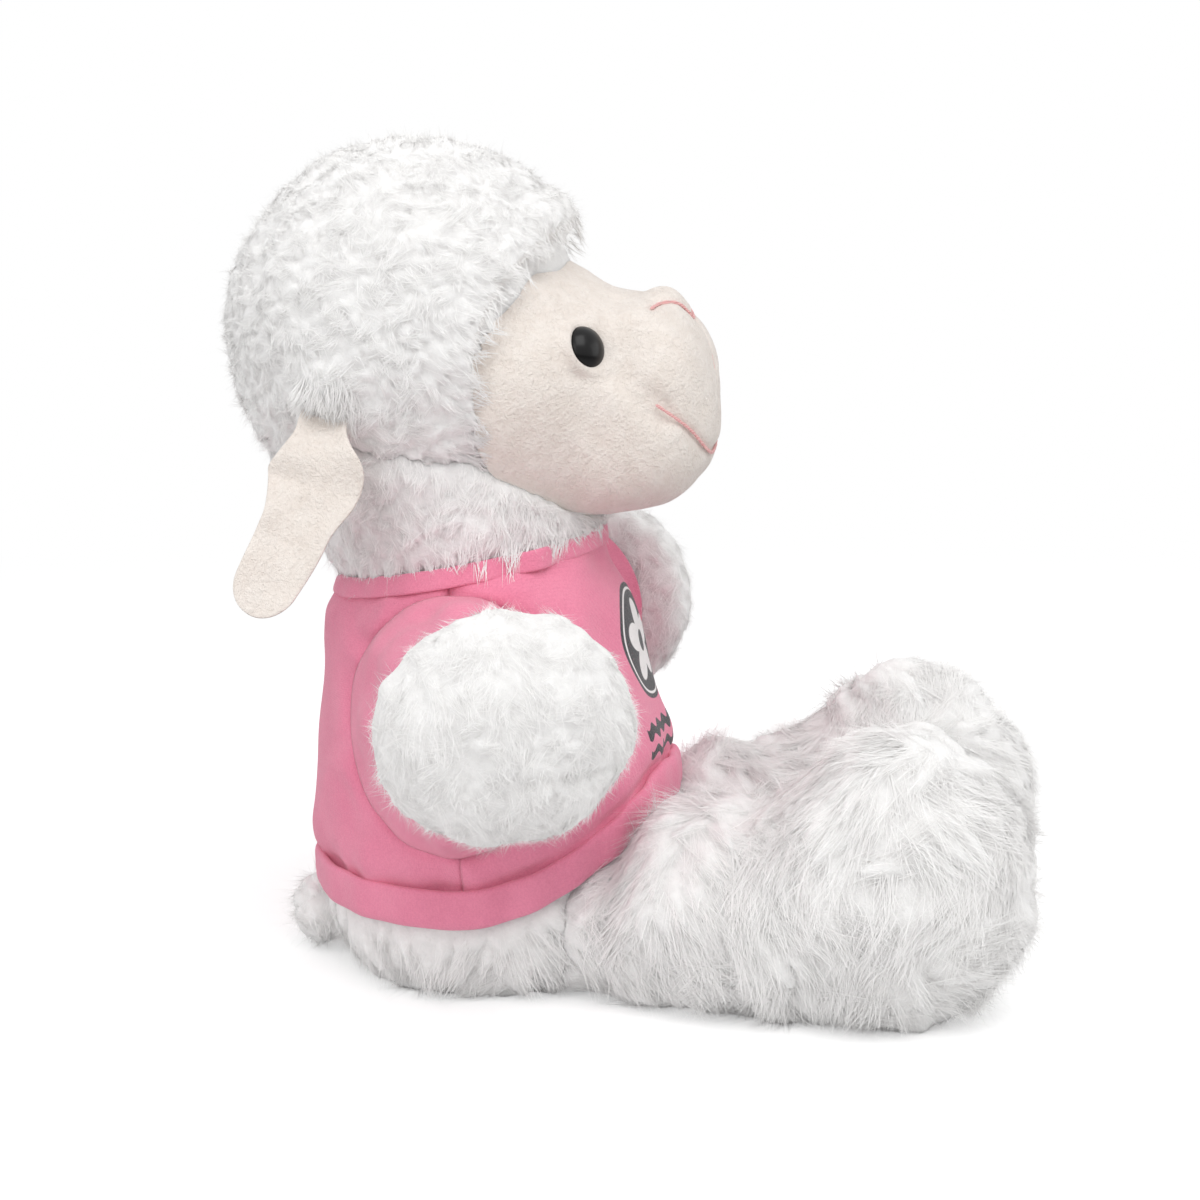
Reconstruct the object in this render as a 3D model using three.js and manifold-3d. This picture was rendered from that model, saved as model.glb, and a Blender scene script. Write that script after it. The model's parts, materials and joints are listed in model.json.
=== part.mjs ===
// A plush lamb in a jersey T-shirt, sitting with its legs stretched out in front of it.
// Millimetres. +Z is up, the lamb faces -Y, and its own right side is at -X.
// Long-pile fleece is modelled as thick as its backing and pile together.

import * as THREE from "three";
import { mergeVertices } from "three/addons/utils/BufferGeometryUtils.js";
import Module from "manifold-3d";

const wasm = await Module();
wasm.setup();

// Fabrics and seams
const seamGap = 0.3;
const fleeceThickness = 7;
const facePlushThickness = 1.8;
const earPlushThickness = 2.2;
const jerseyThickness = 1.3;
const jerseyEase = 0.5;
const threadRadius = 0.45;

// Torso: a pear with a flat face to sit on
const baseRadius = 25;
const seatRadius = 38.5;
const seatHeight = 24;
const bellyRadius = 39.5;
const bellyHeight = 45;
const chestRadius = 34;
const chestHeight = 82;
const neckRadius = 28;
const neckHeight = 100;
const neckStub = 30;
const neckSetback = 4.5;
const torsoWidthRatio = 1.07;

// Head
const headRadius = 43;
const headRise = 46;
const headSetback = 17;
const neckOpeningRadius = 15;
const faceSeamRadius = 44;
const faceSeamForward = 62;
const faceSeamDrop = 9;

// Face, measured from the head's centre
const cheekHalfWidth = 35;
const cheekHalfDepth = 27.5;
const cheekHalfHeight = 29.7;
const cheekForward = 22.5;
const cheekDrop = 11.3;
const muzzleHalfWidth = 26;
const muzzleHalfDepth = 28.3;
const muzzleHalfHeight = 24.7;
const muzzleForward = 39.7;
const muzzleDrop = 15.6;
const muzzlePitch = 3;
const muzzleSquareness = 2.8;
const noseHalfWidth = 9;
const noseHalfDepth = 6;
const noseHalfHeight = 8;
const noseForward = 55.6;
const noseRise = 2;
const lobeBlendFactor = 13;
const eyeDentSide = 23.5;
const eyeDentForward = 49;
const eyeDentDrop = 1.5;
const eyeDentRadius = 5.5;
const eyeDentStrength = 2.2;

// Safety eyes
const eyeRadius = 5;
const eyeDome = 3.6;
const eyeRecess = 1.3;
const eyeTurn = 65.5;
const eyeLift = 20.5;
const eyeFacingTurn = 36;
const eyeFacingLift = 20;
const shankRadius = 1.5;
const shankLength = 7.5;
const washerRadius = 5.5;
const washerThickness = 1.5;
const washerClearance = 1.2;

// Ears
const earTurn = 104;
const earLift = -19;
const earLength = 46;
const earHalfWidth = 10.5;
const earRootHalfWidth = 5;
const earTipHalfWidth = 6;
const earWidestRun = 11.5;
const earTipRounding = 7;
const earSplay = 20;
const earSweep = 17;

// Arms
const shoulderDrop = 27;
const shoulderSpacing = 65;
const armRootRadius = 15;
const armNeckRadius = 10.8;
const pawHalfWidth = 27;
const pawHalfHeight = 23.5;
const armLength = 51;
const armForwardAngle = 24;
const rightArmDrop = 6.5;
const leftArmDrop = -4;
const cuffRun = 3;
const wristRun = 8;

// Legs
const hipSpacing = 43;
const hipForward = 28;
const hipRadius = 16.5;
const legNeckRadius = 13;
const thighHalfWidth = 21;
const thighTop = 45.5;
const footHalfWidth = 23;
const footTop = 65;
const legLength = 96;
const soleRounding = 33;
const legSplay = 10;
const floorSettle = 1.2;
const thighRun = 8;
const shinRise = 1;
const footRiseRun = 27;

// Tail
const tailRootRadius = 7.5;
const tailNeckRadius = 6.2;
const tailRadius = 8.4;
const tailLength = 13;
const tailHeight = 9.8;
const tailInset = 3.4;
const tailNeckRun = 3;

// T-shirt
const hemHeight = 6.5;
const hemSide = 18.9;
const hemFrontRise = 22;
const hemThickness = 2.6;
const neckbandHeight = 4.5;
const collarClearance = 2.2;
const necklineSlope = 0.19;
const armholeHalfDepth = 23;
const armholeHalfHeight = 26.5;
const armholeDrop = 9.5;
const armholeForward = -2.5;
const armholeTopWidth = 33.7;
const armholeBottomWidth = 43;
const sleeveLength = 24;
const sleeveHemRadius = 20.5;

// How finely the soft forms are faceted
const around = 16;
const along = 10;
const reach = 400; // longer than the toy, for cutting solids

const fleeceColour = { color: 0xf4f3f2, roughness: 0.95 };
const facePlushColour = { color: 0xf1e9e2, roughness: 0.9 };
const jerseyColour = { color: 0xf088a8, roughness: 0.9 };
const fillingColour = { color: 0xfafafa, roughness: 1 };
const eyeColour = { color: 0x0b0b0c, roughness: 0.08 };
const washerColour = { color: 0xd8d8d4, roughness: 0.5 };
const threadColour = { color: 0xf4a3ab, roughness: 0.7 };

const radians = THREE.MathUtils.degToRad;
const sides = { right: -1, left: 1 };

// Solids and geometry

function solidOf(geometry) {
  const bare = geometry.index ? geometry.toNonIndexed() : geometry.clone();
  bare.deleteAttribute("normal");
  bare.deleteAttribute("uv");
  const merged = mergeVertices(bare, 1e-4);
  const corners = [...merged.index.array];
  const kept = [];
  for (let i = 0; i < corners.length; i += 3) {
    const [a, b, c] = corners.slice(i, i + 3);
    if (a !== b && b !== c && c !== a) kept.push(a, b, c);
  }
  const solid = new wasm.Manifold(
    new wasm.Mesh({
      numProp: 3,
      vertProperties: merged.attributes.position.array,
      triVerts: new Uint32Array(kept),
    }),
  );
  return solid;
}

// The largest body of a cut, without the slivers that it leaves beside it.
function largest(solid) {
  return solid.decompose().reduce((best, body) => (body.volume() > best.volume() ? body : best));
}

function geometryOf(solid) {
  const mesh = solid.getMesh();
  const positions = new Float32Array(mesh.numVert * 3);
  for (let i = 0; i < mesh.numVert; i++) {
    const start = i * mesh.numProp;
    positions.set(mesh.vertProperties.subarray(start, start + 3), i * 3);
  }
  const geometry = new THREE.BufferGeometry();
  geometry.setAttribute("position", new THREE.BufferAttribute(positions, 3));
  geometry.setIndex(new THREE.BufferAttribute(mesh.triVerts, 1));
  geometry.computeVertexNormals();
  return geometry;
}

// The same closed form with its surface moved along its normals: outwards, or inwards if the distance is negative.
function grown(geometry, distance) {
  const bare = geometry.index ? geometry.toNonIndexed() : geometry.clone();
  bare.deleteAttribute("normal");
  bare.deleteAttribute("uv");
  const merged = mergeVertices(bare, 1e-4);
  merged.computeVertexNormals();
  const { position, normal } = merged.attributes;
  for (let i = 0; i < position.count; i++) {
    position.setXYZ(
      i,
      position.getX(i) + normal.getX(i) * distance,
      position.getY(i) + normal.getY(i) * distance,
      position.getZ(i) + normal.getZ(i) * distance,
    );
  }
  return merged;
}

// A socket for a ball: its flat facets lie outside the ball's radius, so the ball turns in it freely.
function socket(centre, radius) {
  const rings = along - 2;
  const outside = 1 / (Math.cos(Math.PI / around) * Math.cos(Math.PI / (2 * rings)));
  const geometry = new THREE.SphereGeometry((radius + seamGap) * outside, around, rings);
  geometry.translate(centre.x, centre.y, centre.z);
  return solidOf(geometry);
}

// A closed skin over a row of elliptical sections, each with a centre and two half-axis vectors, between two end points.
function loft(sections, segments = around, start = sections[0].centre, end = sections.at(-1).centre) {
  const positions = [];
  const push = (p) => positions.push(p.x, p.y, p.z);
  push(start);
  for (const { centre, side, up } of sections) {
    for (let i = 0; i < segments; i++) {
      const angle = (2 * Math.PI * i) / segments;
      const p = centre.clone().addScaledVector(side, Math.cos(angle));
      push(p.addScaledVector(up, Math.sin(angle)));
    }
  }
  push(end);
  const last = positions.length / 3 - 1;
  const at = (ring, i) => 1 + ring * segments + (i % segments);
  const triangles = [];
  for (let i = 0; i < segments; i++) {
    triangles.push(0, at(0, i + 1), at(0, i));
    for (let ring = 0; ring < sections.length - 1; ring++) {
      triangles.push(at(ring, i), at(ring, i + 1), at(ring + 1, i));
      triangles.push(at(ring, i + 1), at(ring + 1, i + 1), at(ring + 1, i));
    }
    triangles.push(last, at(sections.length - 1, i), at(sections.length - 1, i + 1));
  }
  const geometry = new THREE.BufferGeometry();
  geometry.setAttribute("position", new THREE.Float32BufferAttribute(positions, 3));
  geometry.setIndex(triangles);
  return geometry;
}

// A value that eases from each knot [place, value] to the next.
function eased(knots) {
  return (place) => {
    if (place <= knots[0][0]) return knots[0][1];
    for (let i = 1; i < knots.length; i++) {
      const [from, a] = knots[i - 1];
      const [to, b] = knots[i];
      if (place <= to) return THREE.MathUtils.lerp(a, b, THREE.MathUtils.smoothstep(place, from, to));
    }
    return knots.at(-1)[1];
  };
}

// Places along a limb from its root ball to its rounded tip, closer together where the ends curve.
function limbPlaces(rootRadius, neckStart, length, tipRounding, middle) {
  const rootSteps = 3;
  const tipSteps = 3;
  const tipStart = length - tipRounding;
  const quarter = Math.PI / 2;
  const places = [];
  for (let i = 1; i <= rootSteps; i++) places.push(-rootRadius * Math.cos((quarter * i) / rootSteps));
  for (let i = 1; i <= 2; i++) places.push((neckStart * i) / 2);
  for (let i = 1; i < middle; i++) places.push(neckStart + ((tipStart - neckStart) * i) / middle);
  for (let i = 0; i < tipSteps; i++) places.push(tipStart + tipRounding * Math.sin((quarter * i) / tipSteps));
  return places;
}

// The share of a limb's full section that is left at a place, round at both ends.
function roundedEnds(place, rootRadius, length, tipRounding) {
  const tipStart = length - tipRounding;
  if (place < 0) return Math.sqrt(1 - (place / rootRadius) ** 2);
  if (place > tipStart) return Math.sqrt(1 - ((place - tipStart) / tipRounding) ** 2);
  return 1;
}

// Where a neck of a smaller radius leaves its root ball.
const neckStartOf = (rootRadius, neckRadius) => Math.sqrt(rootRadius ** 2 - neckRadius ** 2);

// The radius of a root ball at a place in front of its centre, and no less than the limb's own radius there.
const outOfBall = (rootRadius, place, own) =>
  place < 0 ? rootRadius : Math.max(own, Math.sqrt(Math.max(0, rootRadius ** 2 - place ** 2)));

// The space between two curves of height over Y, as wide as the toy and more.
function slab(lower, upper) {
  const half = reach / 5;
  const steps = 32;
  const ys = Array.from({ length: steps + 1 }, (_, i) => -half + (2 * half * i) / steps);
  const outline = [
    ...ys.map((y) => new THREE.Vector2(y, lower(y))),
    ...[...ys].reverse().map((y) => new THREE.Vector2(y, upper(y))),
  ];
  const geometry = new THREE.ExtrudeGeometry(new THREE.Shape(outline), {
    depth: reach,
    bevelEnabled: false,
  });
  geometry.translate(0, 0, -reach / 2);
  geometry.applyMatrix4(
    new THREE.Matrix4().makeBasis(
      new THREE.Vector3(0, 1, 0),
      new THREE.Vector3(0, 0, 1),
      new THREE.Vector3(1, 0, 0),
    ),
  );
  return solidOf(geometry);
}

function cylinderAlongX(radiusY, radiusZ, length, centre) {
  const geometry = new THREE.CylinderGeometry(1, 1, length, 2 * around - 4);
  geometry.rotateZ(Math.PI / 2);
  geometry.scale(1, radiusY, radiusZ);
  geometry.translate(centre.x, centre.y, centre.z);
  return solidOf(geometry);
}

const aboveFloor = solidOf(new THREE.BoxGeometry(reach, reach, reach).translate(0, 0, reach / 2));

// Torso

function torsoGeometry() {
  const arcSteps = 3;
  const sideSteps = 7;
  const profile = [new THREE.Vector2(0, 0)];
  for (let i = 0; i < arcSteps; i++) {
    const angle = (Math.PI / 2) * (i / arcSteps);
    profile.push(
      new THREE.Vector2(
        baseRadius + (seatRadius - baseRadius) * Math.sin(angle),
        seatHeight * (1 - Math.cos(angle)),
      ),
    );
  }
  const side = new THREE.SplineCurve([
    new THREE.Vector2(seatRadius, seatHeight),
    new THREE.Vector2(bellyRadius, bellyHeight),
    new THREE.Vector2(chestRadius, chestHeight),
    new THREE.Vector2(neckRadius, neckHeight),
    new THREE.Vector2(neckRadius, neckHeight + neckStub),
  ]);
  profile.push(...side.getPoints(sideSteps));
  profile.push(new THREE.Vector2(0, neckHeight + neckStub));
  const geometry = new THREE.LatheGeometry(profile, around + 6);
  geometry.rotateX(Math.PI / 2);
  geometry.scale(torsoWidthRatio, 1, 1);
  const { position } = geometry.attributes;
  for (let i = 0; i < position.count; i++) {
    const lean = THREE.MathUtils.smoothstep(position.getZ(i), bellyHeight, neckHeight);
    position.setY(i, position.getY(i) + neckSetback * lean);
  }
  return geometry;
}

const torsoSkin = torsoGeometry();
const torsoGrown = (distance) => solidOf(grown(torsoSkin, distance));

// Head and face

const headCentre = new THREE.Vector3(0, headSetback, neckHeight + headRise);
const headSteps = along + 1;

function headBall(radius) {
  const geometry = new THREE.SphereGeometry(radius, around + 4, headSteps);
  geometry.translate(headCentre.x, headCentre.y, headCentre.z);
  return solidOf(geometry);
}

const faceLobes = [
  {
    centre: new THREE.Vector3(0, -cheekForward, -cheekDrop),
    half: new THREE.Vector3(cheekHalfWidth, cheekHalfDepth, cheekHalfHeight),
    pitch: 0,
    squareness: 2,
  },
  {
    centre: new THREE.Vector3(0, -muzzleForward, -muzzleDrop),
    half: new THREE.Vector3(muzzleHalfWidth, muzzleHalfDepth, muzzleHalfHeight),
    pitch: -muzzlePitch,
    squareness: muzzleSquareness,
  },
  {
    centre: new THREE.Vector3(0, -noseForward, noseRise),
    half: new THREE.Vector3(noseHalfWidth, noseHalfDepth, noseHalfHeight),
    pitch: -muzzlePitch,
    squareness: 2,
  },
];
const faceCentre = headCentre.clone().add(new THREE.Vector3(0, -(cheekForward + muzzleForward) / 2, -cheekDrop));

// Above 1 inside the blended lobes, and below 1 outside them. Each eye is pulled in, which dents the face ahead of it.
function faceField(point) {
  let sum = 0;
  for (const { centre, half, pitch, squareness } of faceLobes) {
    const p = point.clone().sub(headCentre).sub(centre);
    p.applyAxisAngle(new THREE.Vector3(1, 0, 0), radians(-pitch));
    p.divide(half);
    const size = Math.abs(p.x) ** squareness + Math.abs(p.y) ** squareness + Math.abs(p.z) ** squareness;
    sum += Math.exp(-lobeBlendFactor * (size ** (1 / squareness) - 1));
  }
  const dent = new THREE.Vector3(eyeDentSide, -eyeDentForward, -eyeDentDrop).add(headCentre);
  const away = dent.distanceTo(point.clone().setX(Math.abs(point.x)));
  sum -= eyeDentStrength * Math.exp(-((away / eyeDentRadius) ** 2));
  return sum;
}

// The point of the face's surface in a direction from its centre.
function facePoint(direction) {
  let near = 0;
  let far = 2 * headRadius;
  for (let i = 0; i < 30; i++) {
    const middle = (near + far) / 2;
    if (faceField(faceCentre.clone().addScaledVector(direction, middle)) > 1) near = middle;
    else far = middle;
  }
  return faceCentre.clone().addScaledVector(direction, near);
}

// A direction turned from straight ahead towards one side, then lifted.
function bearing(side, turn, lift) {
  const flat = Math.cos(radians(lift));
  return new THREE.Vector3(
    side * Math.sin(radians(turn)) * flat,
    -Math.cos(radians(turn)) * flat,
    Math.sin(radians(lift)),
  );
}

function faceGeometry() {
  const geometry = new THREE.SphereGeometry(1, around + 6, along + 4);
  const { position } = geometry.attributes;
  for (let i = 0; i < position.count; i++) {
    const p = facePoint(new THREE.Vector3().fromBufferAttribute(position, i).normalize());
    position.setXYZ(i, p.x, p.y, p.z);
  }
  return geometry;
}

const faceSkin = faceGeometry();
const faceSeamCentre = headCentre.clone().add(new THREE.Vector3(0, -faceSeamForward, -faceSeamDrop));
const faceSide = (extra) =>
  cylinderAlongX(faceSeamRadius + extra, faceSeamRadius + extra, reach, faceSeamCentre);

// Safety eyes: a dome on a shank, held from behind by a washer

function turned(profile, place, axis) {
  const geometry = new THREE.LatheGeometry(
    profile.map(([radius, height]) => new THREE.Vector2(radius, height)),
    14,
  );
  geometry.applyQuaternion(new THREE.Quaternion().setFromUnitVectors(new THREE.Vector3(0, 1, 0), axis));
  geometry.translate(place.x, place.y, place.z);
  return solidOf(geometry);
}

function eyeSolids(side, extra) {
  const surface = facePoint(bearing(side, eyeTurn, eyeLift));
  const axis = bearing(side, eyeFacingTurn, eyeFacingLift);
  const back = surface.clone().addScaledVector(axis, -eyeRecess);
  const domeSteps = 5;
  const dome = [[shankRadius + extra, -extra]];
  for (let i = 0; i <= domeSteps; i++) {
    const angle = (Math.PI / 2) * (i / domeSteps);
    dome.push([(eyeRadius + extra) * Math.cos(angle), (eyeDome + extra) * Math.sin(angle) - (i ? 0 : extra)]);
  }
  const shank = [
    [0, -shankLength - extra],
    [shankRadius + extra, -shankLength - extra],
  ];
  const washerFace = -(facePlushThickness + washerClearance);
  const washerProfile = (hole) => [
    [hole, washerFace - washerThickness - extra],
    [washerRadius + extra, washerFace - washerThickness - extra],
    [washerRadius + extra, washerFace + extra],
    [hole, washerFace + extra],
  ];
  const hole = shankRadius + seamGap;
  return {
    dome: turned([...shank, ...dome], back, axis),
    washer: turned([...washerProfile(hole), washerProfile(hole)[0]], back, axis),
    pocket: turned([[0, washerProfile(0)[0][1]], ...washerProfile(0).slice(1)], back, axis),
    hollow: turned(
      [
        [0, washerProfile(0)[0][1]],
        [washerRadius + extra, washerProfile(0)[0][1]],
        [washerRadius + extra, 0],
        [0, 0],
      ],
      back,
      axis,
    ),
  };
}

// Embroidered lines: tubes laid half into the surface of the face, through bearings [turn, lift] from the muzzle

const muzzleCentre = headCentre.clone().add(new THREE.Vector3(0, -muzzleForward, -muzzleDrop));

function muzzlePoint([turn, lift]) {
  const direction = bearing(Math.sign(turn) || 1, Math.abs(turn), lift);
  let near = 0;
  let far = 2 * headRadius;
  for (let i = 0; i < 30; i++) {
    const middle = (near + far) / 2;
    if (faceField(muzzleCentre.clone().addScaledVector(direction, middle)) > 1) near = middle;
    else far = middle;
  }
  return muzzleCentre.clone().addScaledVector(direction, near);
}

function stitchLine(bearings, radius, steps) {
  const path = new THREE.CatmullRomCurve3(bearings.map(muzzlePoint));
  const section = new THREE.Shape().absarc(0, 0, radius, 0, 2 * Math.PI);
  const geometry = new THREE.ExtrudeGeometry(section, { extrudePath: path, steps, curveSegments: 3 });
  return solidOf(geometry);
}

const noseEdge = [
  [-42, 48],
  [-28, 51],
  [-14, 48],
  [0, 40],
  [14, 48],
  [28, 51],
  [42, 48],
];
const lipLine = [
  [0, 39],
  [0, 12],
  [0, -16],
];
const mouthEdge = [
  [-54, 4],
  [-39, -6],
  [-22, -17],
  [0, -22],
  [22, -17],
  [39, -6],
  [54, 4],
];

const noseStitches = (radius) => stitchLine(noseEdge, radius, 16).add(stitchLine(lipLine, radius, 5));
const mouthStitches = (radius) => stitchLine(mouthEdge, radius, 14);

// Ears: two leaf-shaped layers, hanging from the head on a hinge line that runs fore and aft

function earFrame(side) {
  const outward = bearing(side, earTurn, earLift);
  const root = headCentre.clone().addScaledVector(outward, headRadius + seamGap + earPlushThickness);
  const down = new THREE.Vector3(
    side * Math.sin(radians(earSplay)),
    Math.sin(radians(earSweep)),
    -Math.cos(radians(earSplay)),
  ).normalize();
  const across = new THREE.Vector3(side, 0, 0).cross(down).normalize();
  const out = new THREE.Vector3().crossVectors(down, across).normalize();
  return { root, down, across, out };
}

function earSolid(side) {
  const { root, down, across, out } = earFrame(side);
  const thickness = earPlushThickness;
  const width = eased([
    [0, earRootHalfWidth],
    [earWidestRun, earHalfWidth],
    [earLength, earTipHalfWidth],
  ]);
  const sections = limbPlaces(thickness, thickness, earLength, earTipRounding, 6).map((place) => {
    const share = roundedEnds(place, thickness, earLength, earTipRounding);
    const rootShare = place < 0 ? 1 : share;
    return {
      centre: root.clone().addScaledVector(down, place),
      side: across.clone().multiplyScalar(width(place) * rootShare),
      up: out.clone().multiplyScalar(thickness * share),
    };
  });
  return solidOf(loft(sections, 16));
}

function earHalves(side) {
  const { root, out } = earFrame(side);
  const whole = earSolid(side);
  const normal = [out.x, out.y, out.z];
  const middle = root.dot(out);
  const facesOut = whole.trimByPlane(normal, middle + seamGap / 2);
  const facesHead = whole.trimByPlane(normal.map((n) => -n), -(middle - seamGap / 2));
  return { outer: facesOut, inner: facesHead };
}

// Arms

function armFrame(side) {
  const root = new THREE.Vector3((side * shoulderSpacing) / 2, 0, neckHeight - shoulderDrop);
  const axis = new THREE.Vector3(
    side * Math.cos(radians(armForwardAngle)),
    -Math.sin(radians(armForwardAngle)),
    -(side < 0 ? rightArmDrop : leftArmDrop) / armLength,
  ).normalize();
  const flat = new THREE.Vector3(0, 0, 1).cross(axis).normalize();
  const up = new THREE.Vector3().crossVectors(axis, flat).normalize();
  return { root, axis, flat, up };
}

function armGeometry(side) {
  const { root, axis, flat, up } = armFrame(side);
  const tipRounding = 0.85 * pawHalfHeight;
  const neckStart = neckStartOf(armRootRadius, armNeckRadius);
  const own = (pawSize) =>
    eased([
      [neckStart, armNeckRadius],
      [sleeveLength - cuffRun, armRootRadius],
      [sleeveLength + wristRun, pawSize],
    ]);
  const sections = limbPlaces(armRootRadius, neckStart, armLength, tipRounding, 3).map((place) => {
    const share = roundedEnds(place, armRootRadius, armLength, tipRounding);
    const halfWidth = outOfBall(armRootRadius, place, own(pawHalfWidth)(place));
    const halfHeight = outOfBall(armRootRadius, place, own(pawHalfHeight)(place));
    return {
      centre: root.clone().addScaledVector(axis, place),
      side: flat.clone().multiplyScalar(halfWidth * share),
      up: up.clone().multiplyScalar(halfHeight * share),
    };
  });
  const start = root.clone().addScaledVector(axis, -armRootRadius);
  return loft(sections, around, start, root.clone().addScaledVector(axis, armLength));
}

// Legs

function hipCentre(side) {
  return new THREE.Vector3((side * hipSpacing) / 2, -hipForward, hipRadius + seamGap);
}

function legFrame(side) {
  const axis = new THREE.Vector3(side * Math.sin(radians(legSplay)), -Math.cos(radians(legSplay)), 0);
  const flat = new THREE.Vector3(0, 0, 1).cross(axis).normalize();
  return { root: hipCentre(side), axis, flat, up: new THREE.Vector3(0, 0, 1) };
}

function legGeometry(side) {
  const { root, axis, flat, up } = legFrame(side);
  const neckStart = neckStartOf(hipRadius, legNeckRadius);
  const thighStart = neckStart + thighRun;
  const footStart = legLength - soleRounding;
  const width = eased([
    [neckStart, legNeckRadius],
    [thighStart, thighHalfWidth],
    [footStart, footHalfWidth],
  ]);
  const top = eased([
    [neckStart, root.z + legNeckRadius],
    [thighStart, thighTop],
    [footStart - footRiseRun, thighTop + shinRise],
    [footStart, footTop],
  ]);
  const bottom = eased([
    [neckStart, root.z - legNeckRadius],
    [thighStart, -floorSettle],
  ]);
  const sections = limbPlaces(hipRadius, neckStart, legLength, soleRounding, 6).map((place) => {
    const share = roundedEnds(place, hipRadius, legLength, soleRounding);
    const middle = (top(place) + bottom(place)) / 2;
    const halfHeight = outOfBall(hipRadius, place, (top(place) - bottom(place)) / 2);
    const halfWidth = outOfBall(hipRadius, place, width(place));
    return {
      centre: root.clone().addScaledVector(axis, place).setZ(middle),
      side: flat.clone().multiplyScalar(halfWidth * share),
      up: up.clone().multiplyScalar(halfHeight * share),
    };
  });
  const start = root.clone().addScaledVector(axis, -hipRadius);
  const end = root.clone().addScaledVector(axis, legLength).setZ(sections.at(-1).centre.z);
  return loft(sections, around, start, end);
}

// Tail

const tailRoot = new THREE.Vector3(0, seatRadius - tailInset, tailHeight);

function tailGeometry() {
  const tipRounding = 0.9 * tailRadius;
  const neckStart = neckStartOf(tailRootRadius, tailNeckRadius);
  const own = eased([
    [neckStart, tailNeckRadius],
    [neckStart + tailNeckRun, tailRadius],
  ]);
  const sections = limbPlaces(tailRootRadius, neckStart, tailLength, tipRounding, 2).map((place) => {
    const share = roundedEnds(place, tailRootRadius, tailLength, tipRounding);
    const radius = outOfBall(tailRootRadius, place, own(place)) * share;
    return {
      centre: tailRoot.clone().setY(tailRoot.y + place),
      side: new THREE.Vector3(-radius, 0, 0),
      up: new THREE.Vector3(0, 0, radius),
    };
  });
  const start = tailRoot.clone().setY(tailRoot.y - tailRootRadius);
  return loft(sections, 16, start, tailRoot.clone().setY(tailRoot.y + tailLength));
}

// Fleece shells and their filling

// A stuffed fleece limb: an open-rooted shell and the filling that it holds.
function stuffedLimb(geometry, root, axis, mouthRadius) {
  const skin = solidOf(geometry).intersect(aboveFloor);
  const mouth = (radius) => {
    const bore = new THREE.CylinderGeometry(radius, radius, 2 * fleeceThickness + radius, around - 4);
    bore.applyQuaternion(new THREE.Quaternion().setFromUnitVectors(new THREE.Vector3(0, 1, 0), axis));
    const start = root.clone().addScaledVector(axis, -fleeceThickness);
    bore.translate(start.x, start.y, start.z);
    return solidOf(bore);
  };
  const hollow = solidOf(grown(geometry, -fleeceThickness));
  const filling = solidOf(grown(geometry, -fleeceThickness - seamGap));
  const fleece = skin.subtract(hollow.add(mouth(mouthRadius)));
  const plug = mouth(mouthRadius - seamGap).intersect(skin);
  return { fleece, filling: filling.add(plug) };
}

const parts = new Map();
const sockets = [];

for (const [name, side] of Object.entries(sides)) {
  const arm = armFrame(side);
  const armParts = stuffedLimb(armGeometry(side), arm.root, arm.axis, armRootRadius - fleeceThickness);
  parts.set(`arm_${name}_fleece`, [armParts.fleece, fleeceColour]);
  parts.set(`arm_${name}_filling`, [armParts.filling, fillingColour]);
  sockets.push(socket(arm.root, armRootRadius));

  const leg = legFrame(side);
  const legParts = stuffedLimb(legGeometry(side), leg.root, leg.axis, hipRadius - fleeceThickness);
  parts.set(`leg_${name}_fleece`, [legParts.fleece, fleeceColour]);
  parts.set(`leg_${name}_filling`, [legParts.filling, fillingColour]);
  sockets.push(socket(leg.root, hipRadius));
}

parts.set("tail_fleece", [solidOf(tailGeometry()), fleeceColour]);
sockets.push(socket(tailRoot, tailRootRadius));

// Face and head

const threadRoom = threadRadius + seamGap;
let facePanel = solidOf(faceSkin)
  .intersect(faceSide(-seamGap / 2))
  .subtract(solidOf(grown(faceSkin, -facePlushThickness)))
  .subtract(noseStitches(threadRoom))
  .subtract(mouthStitches(threadRoom));
let headFilling = headBall(headRadius - fleeceThickness - seamGap)
  .subtract(faceSide(0))
  .add(solidOf(grown(faceSkin, -facePlushThickness - seamGap)).intersect(faceSide(seamGap / 4)));

for (const [name, side] of Object.entries(sides)) {
  const eye = eyeSolids(side, 0);
  const room = eyeSolids(side, seamGap);
  facePanel = facePanel.subtract(room.dome).subtract(room.pocket);
  headFilling = headFilling.subtract(room.dome).subtract(room.hollow);
  parts.set(`eye_${name}`, [eye.dome, eyeColour]);
  parts.set(`eye_washer_${name}`, [eye.washer, washerColour]);
  const ear = earHalves(side);
  parts.set(`ear_${name}_outer_layer`, [ear.outer, facePlushColour]);
  parts.set(`ear_${name}_inner_layer`, [ear.inner, facePlushColour]);
}

const neckOpening = (radius) => {
  const bore = new THREE.CylinderGeometry(radius, radius, headRadius + seamGap, around);
  bore.rotateX(Math.PI / 2);
  bore.translate(headCentre.x, headCentre.y, headCentre.z - headRadius / 2);
  return solidOf(bore);
};
const headFleece = headBall(headRadius)
  .subtract(headBall(headRadius - fleeceThickness))
  .subtract(faceSide(seamGap / 2))
  .subtract(neckOpening(neckOpeningRadius));
headFilling = headFilling.add(neckOpening(neckOpeningRadius - seamGap).intersect(headBall(headRadius)));

parts.set("head_fleece", [headFleece, fleeceColour]);
parts.set("head_filling", [headFilling, fillingColour]);
parts.set("face_panel", [facePanel, facePlushColour]);
parts.set("nose_stitching", [noseStitches(threadRadius), threadColour]);
parts.set("mouth_stitching", [mouthStitches(threadRadius), threadColour]);

// The space that the head sweeps as it turns on the neck: its ball, and everything above the chin beside it

const chinHeight = facePanel.boundingBox().min[2];

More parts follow.
